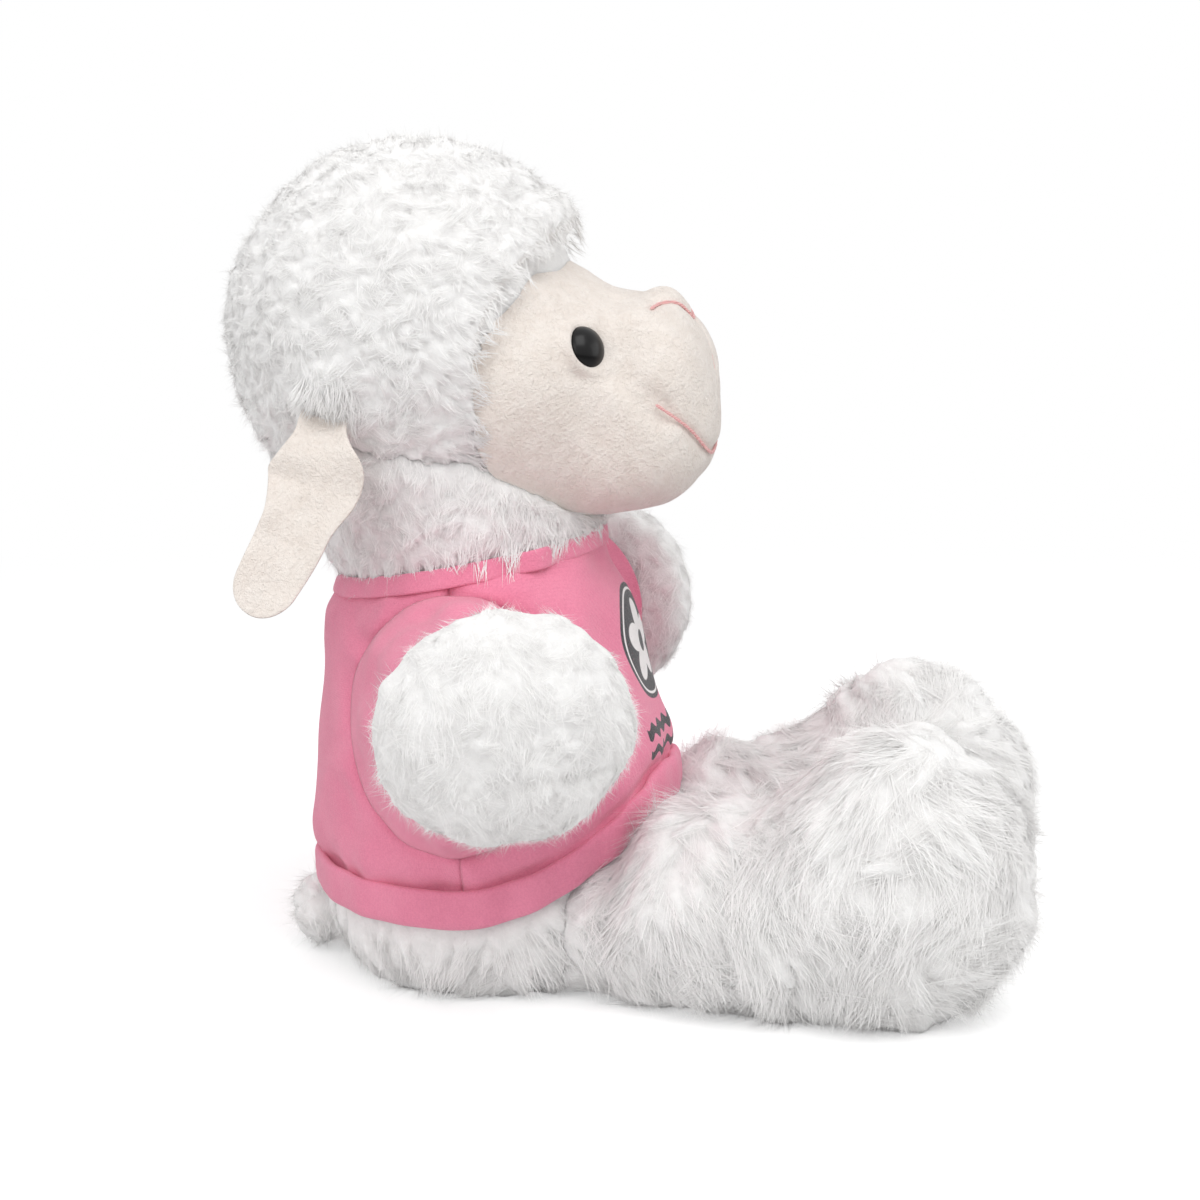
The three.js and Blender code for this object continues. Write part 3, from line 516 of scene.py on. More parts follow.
def hairs(name, grid, surface, tuft, count, seed, thickness, lift, steps=2, wildness=4.5, push=None):
    """Hairs that follow the tufts of a skin. Each starts in its tuft's footprint, is led over the grid in
    equal steps along the tuft and in towards its middle line, lies lift * t^2 over the skin, and leaves
    it straight at its last step, past the tuft's tip. One in five is wild: finer, and it rises wildness
    times as far. push moves the points."""
    rng = np.random.default_rng(seed)
    owner = rng.integers(0, len(tuft["row"]), count)
    length, width = tuft["length"][owner], tuft["width"][owner]
    ahead, across = tuft["ahead"][owner], tuft["across"][owner]
    row_way, column_way = np.gradient(grid, axis=0), (np.roll(grid, -1, 1) - np.roll(grid, 1, 1)) / 2
    skin_normal = outward(grid)

    def led(row, column, step):
        """Where a step along the surface leads: the row and column shares that solve the step by least
        squares."""
        p, q = sampled(row_way, row, column), sampled(column_way, row, column)
        pp, qq, pq = (p * p).sum(1), (q * q).sum(1), (p * q).sum(1)
        sp, sq = (step * p).sum(1), (step * q).sum(1)
        area = pp * qq - pq * pq + 1e-9
        down = np.clip((qq * sp - pq * sq) / area, -12, 12)
        round_ = np.clip((pp * sq - pq * sp) / area, -grid.shape[1] / 8, grid.shape[1] / 8)
        return np.clip(row + down, 0, len(grid) - 1.001), column + round_

    back = rng.uniform(-0.3, 0.5, count)
    aside = rng.uniform(-0.95, 0.95, count) * width * (1 - 0.4 * np.clip(back, 0, 1))
    run = (rng.uniform(0.85, 1.3, count) - back) * length
    from_spot = ahead * (back * length)[:, None] + across * aside[:, None]
    row, column = led(tuft["row"][owner], tuft["column"][owner], from_spot)
    wild = rng.uniform(size=count) < 0.2
    rise = lift * rng.uniform(0.4, 1.4, count) * np.where(wild, wildness, 1.0)
    line = []
    for k in range(steps):
        t = k / steps
        normal = unit(sampled(skin_normal, row, column))
        hover = 0.04 + rise * t**2 - 0.3 * (k == 0)
        line.append(sampled(surface, row, column) + normal * hover[:, None])
        step = ahead * (run / steps)[:, None] - across * (aside * 0.75 / steps)[:, None]
        row, column = led(row, column, step + rng.normal(0, 0.17, (count, 3)) * length[:, None] / steps)
    last = line[-1] - line[-2]
    leaving = rise * (1 - ((steps - 1) / steps) ** 2) - 0.1
    free = unit(last) * 0.9 * (run / steps)[:, None] + normal * leaving[:, None]
    line.append(line[-1] + free + rng.normal(0, 0.12, (count, 3)))
    line = np.stack(line, 1)
    if push:
        line = push(line)
    line[..., 2] = np.maximum(line[..., 2], 0.15)
    width = thickness * rng.uniform(0.7, 1.3, count) * np.where(wild, 0.65, 1.0)
    return hair_mesh(name, line, normal, width, rng)


def hair_mesh(name, line, up, width, rng):
    """Hairs along lines of points, as closed blades: about each point but the last, two corners to the
    sides and one below, with the broad side turned up. They taper to the last point. up is the skin's
    normal, rolled at random."""
    count, rings = line.shape[0], line.shape[1] - 1
    ahead = unit(line[:, -1] - line[:, 0])
    roll = rng.normal(0, 0.22, count)[:, None]
    side = unit(np.cross(up, ahead))
    above = np.cross(ahead, side)
    side, above = side * np.cos(roll) + above * np.sin(roll), above * np.cos(roll) - side * np.sin(roll)
    way = np.linspace(0, 1, rings + 1)
    taper = (width[:, None] / 2 * (1 - 0.7 * way[:-1] ** 1.5))[:, :, None, None]
    corners = np.stack([side, -side, -0.35 * above], 1)[:, None]
    tube = line[:, :-1, None] + corners * taper
    points = np.concatenate([tube.reshape(count, -1, 3), line[:, -1:]], 1)
    start = (np.arange(count) * (3 * rings + 1))[:, None, None]
    walls = (grid_faces(rings, 3)[None] + start).reshape(-1, 4)
    root_cap = (np.array([[0, 2, 1]])[None] + start).reshape(-1, 3)
    top = 3 * (rings - 1)
    fan = np.array([[top, top + 1, 3 * rings], [top + 1, top + 2, 3 * rings], [top + 2, top, 3 * rings]])
    fans = (fan[None] + start).reshape(-1, 3)
    column = (rng.integers(0, 64, count)[:, None] + np.tile([0.15, 0.5, 0.85], rings)[None]) / 64
    height = np.repeat(way[:-1], 3)[None] + np.tile([0.0, 0.01, 0.02], rings)[None]
    u = np.concatenate([column, column[:, 1:2]], 1)
    v = np.concatenate([np.repeat(height, count, 0), np.full((count, 1), 0.99)], 1)
    uv = np.stack([u, v], -1).reshape(-1, 2)
    return mesh_piece(name, points.reshape(-1, 3), walls, root_cap, fans, uv=uv, smooth=False)


# Shader arithmetic and materials

class Signal:
    """A shader socket that takes part in Python arithmetic: each operator adds the Math node of its name."""

    def __init__(self, finish, socket):
        self.finish, self.socket = finish, socket

    def _math(self, operation, *values):
        return self.finish.node("ShaderNodeMath", {"operation": operation}, dict(enumerate(values)))

    def __add__(self, other): return self._math("ADD", self, other)
    def __radd__(self, other): return self._math("ADD", other, self)
    def __sub__(self, other): return self._math("SUBTRACT", self, other)
    def __rsub__(self, other): return self._math("SUBTRACT", other, self)
    def __mul__(self, other): return self._math("MULTIPLY", self, other)
    def __rmul__(self, other): return self._math("MULTIPLY", other, self)
    def __truediv__(self, other): return self._math("DIVIDE", self, other)
    def __rtruediv__(self, other): return self._math("DIVIDE", other, self)
    def __pow__(self, other): return self._math("POWER", self, other)
    def __abs__(self): return self._math("ABSOLUTE", self)
    def __lt__(self, other): return self._math("LESS_THAN", self, other)
    def sin(self): return self._math("SINE", self)
    def cos(self): return self._math("COSINE", self)
    def root(self): return self._math("SQRT", self)
    def most(self, other): return self._math("MAXIMUM", self, other)

    def clipped(self, low, high):
        """0 below low, 1 above high, and a smooth step between them."""
        return self.finish.node("ShaderNodeMapRange", {"interpolation_type": "SMOOTHSTEP"},
                                {"Value": self, "From Min": low, "From Max": high})


class Finish:
    """A material under construction."""

    def __init__(self, name, base=(0.8, 0.8, 0.8, 1), **constants):
        self.material = bpy.data.materials.new(name)
        self.material.use_nodes = True
        self.tree = self.material.node_tree
        self.shader = self.tree.nodes["Principled BSDF"]
        self.shader.inputs["Base Color"].default_value = base
        for socket, value in constants.items():
            self.shader.inputs[socket.replace("_", " ")].default_value = value
        self.material.diffuse_color = base

    def node(self, kind, settings=None, inputs=None, output=0):
        """Adds a node, sets its settings, then its sockets' values or links, and returns an output as a
        Signal."""
        made = self.tree.nodes.new(kind)
        for name, value in (settings or {}).items():
            if name == "stops":
                while len(made.color_ramp.elements) < len(value):
                    made.color_ramp.elements.new(0.5)
                for element, (place, colour) in zip(made.color_ramp.elements, value):
                    element.position, element.color = place, (*colour, 1)
            else:
                setattr(made, name, value)
        for name, value in (inputs or {}).items():
            if isinstance(value, Signal):
                self.tree.links.new(value.socket, made.inputs[name])
            else:
                made.inputs[name].default_value = value
        return Signal(self, made.outputs[output])

    def split(self, vector):
        """A vector's three numbers."""
        first = self.node("ShaderNodeSeparateXYZ", {}, {0: vector})
        return (Signal(self, out) for out in first.socket.node.outputs)

    def places(self):
        """Object coordinates as a vector, and as three numbers in millimetres from the torso's axis."""
        place = self.node("ShaderNodeTexCoord", output="Object")
        x, y, z = self.split(place)
        return place, x / MM, y / MM - float(toy_shift[1]), z / MM

    def noise(self, place, size_mm, detail=2.0, roughness=0.5, distortion=0.0):
        """Noise whose features are about size_mm wide."""
        return self.node("ShaderNodeTexNoise", {}, {
            "Vector": place, "Scale": 1 / (size_mm * MM), "Detail": detail, "Roughness": roughness,
            "Distortion": distortion})

    def mixed(self, amount, first, second):
        """A colour between two colours."""
        return self.node("ShaderNodeMix", {"data_type": "RGBA"}, {0: amount, 6: first, 7: second}, output=2)

    def bump(self, height, depth_mm):
        """Relief on the surface, as deep as depth_mm where the height is 1."""
        relief_of = {"Height": height, "Distance": depth_mm * MM, "Strength": 1.0}
        self.feed("Normal", self.node("ShaderNodeBump", {}, relief_of))

    def feed(self, socket, signal):
        """Lets a signal drive one of the shader's sockets."""
        self.tree.links.new(signal.socket, self.shader.inputs[socket])


def colour(r, g, b):
    """A colour written in the 0 to 255 values of a picture, as linear light."""
    part = np.array([r, g, b]) / 255
    linear = np.where(part <= 0.04045, part / 12.92, ((part + 0.055) / 1.055) ** 2.4)
    return (*(float(c) for c in linear), 1.0)


def pile_finish(name, root, tip):
    """White pile: each hair has its own brightness, and is darker at its root than at its tip, as painted
    shade where the hairs crowd over the skin.
    """
    finish = Finish(name, tip, Roughness=0.8, Sheen_Weight=0.3, Sheen_Roughness=0.5, Specular_IOR_Level=0.2)
    hair, along, _ = finish.split(finish.node("ShaderNodeUVMap", {"uv_map": "OFBake"}))
    number = finish.node("ShaderNodeMath", {"operation": "FLOOR"}, {0: hair * 64})
    own = finish.node("ShaderNodeTexWhiteNoise", {"noise_dimensions": "1D"}, {"W": number})
    # Painted shade: each hair is mixed towards the darker root colour near its root.
    finish.feed("Base Color", finish.mixed(along.clipped(0.0, 0.7) * 0.6 + own * 0.4, root, tip))
    return finish.material


def backing_finish(name, tint):
    """The knitted ground under the pile: fine loops and small clumps, with painted shade in the hollows
    between the clumps.
    """
    finish = Finish(name, tint, Roughness=0.95, Sheen_Weight=0.2, Subsurface_Weight=1.0,
                    Subsurface_Scale=0.003, Subsurface_Radius=(1.0, 1.0, 1.0))
    place, *_ = finish.places()
    clumps = finish.noise(place, 2.2, 3)
    fine = finish.noise(place, 0.5, 2)
    # Painted shade: where the clumps' relief is low the white is mixed towards a darker copy.
    clump_hollow_shade = tuple(c * 0.95 for c in tint[:3]) + (1,)
    finish.feed("Base Color", finish.mixed(clumps.clipped(0.35, 0.65), clump_hollow_shade, tint))
    finish.bump(clumps * 0.7 + fine * 0.3, 0.6)
    return finish.material


def short_pile_finish(name, tint, deep):
    """Short velvety pile: tiny tufts that lie in patches, with soft mottling towards the darker colour deep,
    which is painted shade in the low parts of the tufts' and patches' relief.
    """
    finish = Finish(name, tint, Roughness=0.85, Sheen_Weight=0.35, Sheen_Roughness=0.4,
                    Specular_IOR_Level=0.2)
    place, *_ = finish.places()
    patches = finish.noise(place, 5, 3, 0.6)
    tufts = finish.noise(place, 0.75, 3, 0.7) * 0.6 + finish.noise(place, 1.7, 3, 0.6, 1.2) * 0.5
    # Painted shade: the mottle follows the relief, so the colour goes to deep where the tufts and patches are
    # low.
    mottle = patches.clipped(0.3, 0.7) * 0.5 + tufts.clipped(0.3, 0.7) * 0.5
    finish.feed("Base Color", finish.mixed(mottle, deep, tint))
    finish.feed("Roughness", mottle * 0.12 + 0.8)
    finish.bump(tufts * 0.9 + patches * 0.4, 1.0)
    return finish.material


WALE_WIDTH, COURSE_HEIGHT = 0.62, 0.5


def jersey_knit(finish, place, x, y, z):
    """Height of a fine jersey knit: upright wales crossed by courses, broken up by noise."""
    waver = finish.noise(place, 6, 2) * 0.5
    wales = abs((x * (math.pi / WALE_WIDTH) + y * (math.pi / WALE_WIDTH) + waver).sin())
    courses = abs((z * (math.pi / COURSE_HEIGHT) + wales * 0.9 + waver).sin())
    return wales * 0.6 + courses * 0.4


def jersey_finish(name, tint, deep, print_colours=None):
    """Cotton jersey with a fine knit and fuzz, painted shade towards the darker pink deep in the knit's and
    the fuzz's hollows and in soft patches, and a printed badge on the chest if it has colours."""
    finish = Finish(name, tint, Roughness=0.85, Sheen_Weight=0.3, Sheen_Roughness=0.45,
                    Specular_IOR_Level=0.2)
    place, x, y, z = finish.places()
    knit = jersey_knit(finish, place, x, y, z)
    shade_patches = finish.noise(place, 14, 3)
    fuzz = finish.noise(place, 0.8, 2)
    brushed = finish.noise(place, 0.45, 4, 0.75)
    # Painted shade: the knit's and the brushed fuzz's low parts, and soft patches, are mixed towards the
    # shaded pink, deep.
    lightness = knit * 0.15 + brushed.clipped(0.35, 0.65) * 0.5 + shade_patches.clipped(0.3, 0.7) * 0.35
    surface = finish.mixed(lightness, deep, tint)
    if print_colours:
        ink, paper = print_colours
        surface, printed = badge(finish, surface, x, y, z, ink, paper, fuzz)
        finish.feed("Roughness", 0.86 - printed * 0.22)
    finish.feed("Base Color", surface)
    finish.bump(knit * 0.25 + brushed * 0.8 + fuzz * 0.4, 0.25)
    return finish.material


BADGE_HEIGHT = 76
BADGE_BARS = ((57.5, 1.1), (53.0, 0.8))


def badge(finish, cloth, x, y, z, ink, paper, fuzz):
    """A charcoal disc with a pale five-petalled flower, over two scalloped charcoal bars. A petal's edge is
    at 0.5 + 0.42 |cos(2.5 angle)| of the flower's 10.5 mm."""
    front = y < 0
    up = z - BADGE_HEIGHT
    radius = (x * x + up * up).root()
    disc = 1 - radius.clipped(13.0, 13.3)
    angle = finish.node("ShaderNodeMath", {"operation": "ARCTAN2"}, {0: x, 1: up})
    petal = abs((angle * 2.5).cos()) * 0.42 + 0.5
    flower = 1 - (radius / (petal * 10.5)).clipped(0.97, 1.03)
    heart = 1 - radius.clipped(2.3, 2.6)
    ring = radius.clipped(11.4, 11.6) * (1 - radius.clipped(12.0, 12.2))
    pale = (flower * (1 - heart)).most(ring)
    dark = disc
    wave = (x * (2 * math.pi / 5)).sin() * 0.7
    for middle, half in BADGE_BARS:
        bar = (1 - abs(z - middle + wave).clipped(half, half + 0.25)) * (1 - abs(x).clipped(14.5, 14.8))
        dark = dark.most(bar)
    worn = 1 - fuzz.clipped(0.62, 0.8) * 0.35
    printed = dark * front * worn
    surface = finish.mixed(printed, cloth, ink)
    return finish.mixed(pale * disc * front * worn, surface, paper), printed


# The pile's root colour is a painted shade of its tip's white.
white_pile = pile_finish("white_pile", colour(240, 239, 238), colour(249, 248, 247))
# The backing's white is the pile's darker root white: painted shade under the pile.
white_backing = backing_finish("fleece_backing", colour(240, 239, 238))
# The second cream is a shaded copy of the first: painted shade in the plush's hollows.
cream_plush = short_pile_finish("cream_short_pile", colour(243, 235, 228), colour(231, 220, 211))
# The second pink is the shirt's pink in shade, painted into the jersey's hollows and patches.
PINK, SHADED_PINK = colour(244, 150, 177), colour(226, 128, 157)
CHARCOAL, PAPER = colour(58, 58, 62), colour(244, 240, 240)
pink_jersey = jersey_finish("pink_jersey", PINK, SHADED_PINK)
printed_jersey = jersey_finish("pink_jersey_printed", PINK, SHADED_PINK, (CHARCOAL, PAPER))


def thread_finish():
    """Salmon embroidery thread: fine twisted plies, with painted shade in the grooves between them and
    painted light on their crowns.
    """
    finish = Finish("salmon_thread", colour(242, 176, 176), Roughness=0.6, Sheen_Weight=0.2,
                    Specular_IOR_Level=0.2)
    _, x, y, z = finish.places()
    ply = ((x * 0.9 + z * 1.6 + y * 1.1) * (2 * math.pi / 0.8)).sin() * 0.5 + 0.5
    # Painted shade and painted light: the colour follows the plies' relief, darker in the grooves and paler
    # on the crowns.
    finish.feed("Base Color", finish.mixed(ply, colour(242, 172, 172), colour(250, 202, 199)))
    finish.bump(ply, 0.15)
    return finish.material


def eye_finish():
    """Polished black plastic with faint handling marks."""
    finish = Finish("black_eye_plastic", colour(9, 8, 9), Coat_Weight=0.12, Coat_Roughness=0.12,
                    Specular_IOR_Level=0.22)
    place, *_ = finish.places()
    marks = finish.noise(place, 1.5, 4, 0.7)
    finish.feed("Roughness", marks.clipped(0.45, 0.75) * 0.1 + 0.3)
    finish.feed("Base Color", finish.mixed(marks.clipped(0.5, 0.8), colour(8, 7, 8), colour(15, 14, 14)))
    return finish.material


def washer_finish():
    """Moulded natural plastic: a fine satin grain."""
    finish = Finish("washer_plastic", Roughness=0.5)
    place, *_ = finish.places()
    grain = finish.noise(place, 0.4, 2)
    finish.feed("Base Color", finish.mixed(grain, colour(214, 214, 208), colour(228, 228, 222)))
    finish.bump(grain, 0.03)
    return finish.material


def filling_finish():
    """Loose polyester fibre: tangled streaks, with painted shade: greyer where the strands' relief is low."""
    finish = Finish("fibre_filling", Roughness=1.0, Sheen_Weight=0.4)
    place, *_ = finish.places()
    strands = finish.noise(place, 1.2, 6, 0.8, 2.0)
    grey, white = colour(226, 226, 226), colour(248, 248, 248)
    # Painted shade: the grey goes where the strands' relief is low.
    finish.feed("Base Color", finish.mixed(strands.clipped(0.3, 0.7), grey, white))
    finish.bump(strands, 1.2)
    return finish.material


salmon_thread, black_plastic = thread_finish(), eye_finish()
hidden_finishes = {"washer": washer_finish(), "filling": filling_finish()}
for name, node in frame["nodes"].items():
    for word, material in hidden_finishes.items():
        if word in name:
            node.data.materials.clear()
            node.data.materials.append(material)


def dress(piece, body, slot, material, *nodes):
    """Gives a piece its material, and makes it ride on a body in place of its CAD
    nodes. Its slot is not used."""
    piece.data.materials.clear()
    piece.data.materials.append(material)
    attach(piece, body)
    if nodes:
        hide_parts(*nodes)
    return piece


# Fleece pieces

DOWN = np.array([0, 0, -1.0])
density = 1.0


def flow(points, size, seed):
    """A smooth field of directions: three uneven heights as a vector."""
    return np.stack([uneven(points, size, seed + k) for k in range(3)], -1)


def skin(name, grid, tuft, inset, seed, lumps=0.5, floor=0.25, sink=0):
    """A stuffed skin: the form moved in by an inset along its normals and out by its tufts, with soft
    lumps."""
    normal = outward(grid)
    off = relief(grid, tuft) + lumps * uneven(grid, 17, seed) - inset - sink
    surface = grid + normal * off[..., None]
    surface[..., 2] = np.maximum(surface[..., 2], floor)
    return closed_tube(name, surface), surface


def fleece(piece, body):
    """A fleece skin's finish and body, in place of the body's plain one."""
    dress(piece, body, "fleece", white_backing, f"{body}_fleece")


def pile(name, body, grid, surface, tuft, count, seed, *shape, **more):
    """The hairs of a skin, dressed as white pile on its body."""
    piece = hairs(name, grid, surface, tuft, int(count * density), seed, *shape, **more)
    dress(piece, body, "fleece", white_pile)


def head_comb(points):
    """Down and every way, and forwards over the face where the seam is near."""
    seam_line = head_centre + np.array([0, -FACE_SEAM_FORWARD, -FACE_SEAM_DROP])
    to_face = unit((seam_line - points) * np.array([0, 1, 1]))
    near = 1 - smooth_step(2, 9, behind_seam(points))
    return flow(points, 8, 21) + 0.45 * DOWN + 1.5 * near[..., None] * to_face


def out_of_face(line):
    """Lifts the points of hairs that lap over the face out of it, in steps of 0.4 mm away from its centre."""
    for _ in range(9):
        inside = face_field(line) > 0.97
        line = line + unit(line - face_centre) * (0.4 * inside)[..., None]
    return line


ABOVE_EAR = np.array([0, 2, 5])


def head_fleece():
    """Short soft tufts all over the head behind the face's seam, fuller at the brow and round the ears'
    roots."""
    grid = head_form()
    behind = behind_seam(grid)
    tuft = tufts(grid, 4200, 11, head_comb, (4.6, 1.75, 1.25), 0.45, lambda p: behind_seam(p) > -2.2)
    height = (grid[..., 2] - head_centre[2]) / HEAD_RADIUS
    brow = 2.6 * np.exp(-((behind - 2) / 4) ** 2) * smooth_step(0.25, 0.8, height)
    for root in ear_root.values():
        brow += 3.0 * np.exp(-(np.linalg.norm(grid - root - ABOVE_EAR, axis=-1) / 5.5) ** 2)
    under_face = 4.5 * (1 - smooth_step(-3, -0.6, behind))
    piece, _ = skin("head_skin", grid, tuft, 1.0, 3, 0.4, sink=under_face - brow)
    fleece(piece, "head")
    over = grid + outward(grid) * (relief(grid, tuft) - 1.0 + brow + 0.4 * uneven(grid, 17, 3))[..., None]
    for part, seed in (("one", 31), ("two", 32)):
        pile(f"head_pile_{part}", "head", grid, over, tuft, 18500, seed, 0.17, 0.36, push=out_of_face)
    for side, root in ear_root.items():
        fringe = tufts(grid, 4200, 34, lambda p: flow(p, 8, 21) * 0.4 + DOWN, (6.5, 2.0, 1.0), 0.3,
                       lambda p: np.linalg.norm(p - root - ABOVE_EAR, axis=1) < 6.5)
        pile(f"ear_{side}_fringe", "head", grid, over, fringe, 900, 35, 0.17, 2.4, wildness=1.4)


HEM_SIDE, HEM_FRONT_RISE, HEM_HEIGHT = 18.9, 22, 9.0
COLLAR_TOP, COLLAR_SLOPE, BAND_HEIGHT = 102.6, 0.19, 4.5


def hemline(y):
    """The hem's lower edge: level at the back and sides, and rising with the square of the way to the
    front."""
    return HEM_SIDE + HEM_FRONT_RISE * np.clip((NECK_SETBACK - y) / 44, 0, 1) ** 2


def neckline(y):
    """The collar's upper edge: a plane that falls towards the back."""
    return COLLAR_TOP - COLLAR_SLOPE * (y + 23.5)


def slimness(turn, z):
    """How far the shirt and the neck are drawn in at the nape: 3 mm at its middle, fading down the back."""
    return 3.0 * smooth_step(76, 96, z) * smooth_step(0.3, 0.9, (1 - np.cos(turn)) / 2)


def rump_fleece():
    """Shaggy tufts on the rump below the hem. The skin goes on under the shirt as a plain stuffed form."""
    grid = torso_form()
    tuft = tufts(grid, 1500, 12, lambda p: flow(p, 20, 41) * 0.7 + DOWN, (10.5, 2.9, 2.5), 0.25,
                 lambda p: p[:, 2] < hemline(p[:, 1]) - 1)
    under = smooth_step(-1, 3, grid[..., 2] - hemline(grid[..., 1]))
    turn = np.arctan2(grid[..., 0], -grid[..., 1])
    neck = smooth_step(-4, 1, grid[..., 2] - neckline(grid[..., 1]))
    sink = 1.6 * under + slimness(turn, grid[..., 2]) + 3 * neck
    piece, surface = skin("torso_skin", grid, tuft, 1.0, 5, sink=sink)
    fleece(piece, "torso")
    pile("rump_pile", "torso", grid, surface, tuft, 8000, 51, 0.18, 0.7, wildness=4)


NAPE_HEIGHT = 125


def ruff_form():
    """The fur round the neck: from inside the collar, out over it, and up to the head's ball and the face.
    Each section is a quadratic curve whose middle point stands proud of both ends."""
    turn = full_turn(TORSO_AROUND)
    back = smooth_step(0.26, 0.62, (1 - np.cos(turn)) / 2)
    edge = neckline(torso_point(turn, np.full_like(turn, 96.0), 0.0)[:, 1])
    low = torso_point(turn, edge - 4, -0.8 - slimness(turn, edge))
    height = np.linspace(101, 132, 125)[:, None]
    upright = torso_point(turn, 98 + 0 * height + 0 * turn, 0.2)
    upright[..., 2] = height
    touches = (face_field(upright) > 1) | (np.linalg.norm(upright - head_centre, axis=-1) < HEAD_RADIUS)
    top = height[np.argmax(touches, 0), 0] + 2.0
    ahead = np.stack([upright[0, :, 0], upright[0, :, 1], top], -1)
    ball = math.sqrt(HEAD_RADIUS**2 - (NAPE_HEIGHT - head_centre[2]) ** 2) - 1.0
    nape = np.stack([ball * np.sin(turn), head_centre[1] - ball * np.cos(turn), NAPE_HEIGHT + 0 * turn], -1)
    high = ahead * (1 - back[:, None]) + nape * back[:, None]
    out = np.stack([np.sin(turn), -np.cos(turn), 0 * turn], -1)
    middle = (low + high) / 2 + out * (3.0 - 1.4 * back)[:, None]
    t = np.linspace(0, 1, 46)[:, None, None]
    return (1 - t) ** 2 * low + 2 * t * (1 - t) * middle + t**2 * high


def over_collar(line):
    """Moves the points of hairs that hang below the collar's upper edge out of its cloth, away from the
    torso's axis."""
    x, y, z = line[..., 0] / TORSO_WIDTH_RATIO, line[..., 1] - torso_lean(line[..., 2]), line[..., 2]
    reach = np.hypot(x, y)
    wanted = (torso_radius(z) + 2.3 - slimness(np.arctan2(x, -y), z)) * (z < neckline(line[..., 1]) + 0.5)
    share = np.maximum(wanted / reach, 1)
    return np.stack([line[..., 0] * share, torso_lean(z) + y * share, z], -1)


def neck_ruff():
    """The neck's fleece and its tufts, which hang over the collar. Its form runs from the torso up to the
    head.
    """
    grid = ruff_form()
    tuft = tufts(grid, 900, 16, lambda p: flow(p, 9, 46) * 0.6 + DOWN, (5.4, 2.1, 1.3), 0.35,
                 lambda p: p[:, 2] > neckline(p[:, 1]) + 0.8)
    dip = 1.4 * smooth_step(0.78, 1.0, np.linspace(0, 1, len(grid)))[:, None]
    piece, surface = skin("neck_skin", grid, tuft, 0.7, 6, sink=dip)
    hair = hairs("neck_pile", grid, surface, tuft, int(8500 * density), 52, 0.17, 0.45, push=over_collar)
    for part, material in ((piece, white_backing), (hair, white_pile)):
        part.data.materials.append(material)
        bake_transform(part)


def arm_fleece(side):
    """Soft middling tufts on the paw and the wrist. The part inside the sleeve is left plain."""
    grid, axis = arm_form(side)
    away = grid - shoulder[side]
    tuft = tufts(grid, 1100, 13, lambda p: flow(p, 9, 61) + DOWN * 0.8, (6.4, 2.3, 0.95), 0.4,
                 lambda p: (p - shoulder[side]) @ axis > 18)
    hidden = 1 - smooth_step(17, 27, away @ axis)
    forward = away @ unit(np.cross(axis, [0, 0, 1.0])) * SIDES[side]
    in_front = smooth_step(-12, 0, forward) * smooth_step(-24, -16, -forward)
    seam = np.exp(-((away[..., 2] + 12) / 1.3) ** 2) * in_front
    piece, surface = skin(f"arm_{side}_skin", grid, tuft, 0.7, 7, 0.5, sink=3.2 * hidden + 0.8 * seam)
    fleece(piece, f"arm_{side}")
    pile(f"arm_{side}_pile", f"arm_{side}", grid, surface, tuft, 9500, 63, 0.14, 0.4, wildness=4)


def leg_fleece(side):
    """Long shaggy tufts on the leg and the foot, combed down, towards the toes and every way."""
    grid, axis = leg_form(side)
    tuft = tufts(grid, 1100, 14, lambda p: flow(p, 24, 71) + DOWN * 0.8 + axis * 0.3, (12.5, 3.1, 2.4), 0.22,
                 lambda p: (p - hip[side]) @ axis > -2)
    piece, surface = skin(f"leg_{side}_skin", grid, tuft, 1.1, 8, 0.7)
    body = f"leg_{side}"
    fleece(piece, body)
    for part, seed in (("one", 73), ("two", 74)):
        pile(f"{body}_pile_{part}", body, grid, surface, tuft, 12000, seed, 0.18, 0.8, wildness=4)


def tail_fleece():
    """A small tuft of a tail."""
    grid = tail_form()
    tuft = tufts(grid, 90, 15, lambda p: flow(p, 9, 81) + DOWN * 0.6, (6.5, 2.6, 1.3), 0.4)
    piece, surface = skin("tail_skin", grid, tuft, 0.8, 9, 0.2)
    fleece(piece, "tail")
    pile("tail_pile", "tail", grid, surface, tuft, 1300, 83, 0.18, 0.7)


head_fleece()
neck_ruff()
rump_fleece()
tail_fleece()
for side in SIDES:
    arm_fleece(side)
    leg_fleece(side)


# Face and its stitching

face_piece = closed_tube("face_plush", face_form())
dress(face_piece, "head", "short_pile_plush", cream_plush, "face_panel")


THREAD_RADIUS, STITCH_LENGTH = 0.34, 2.6


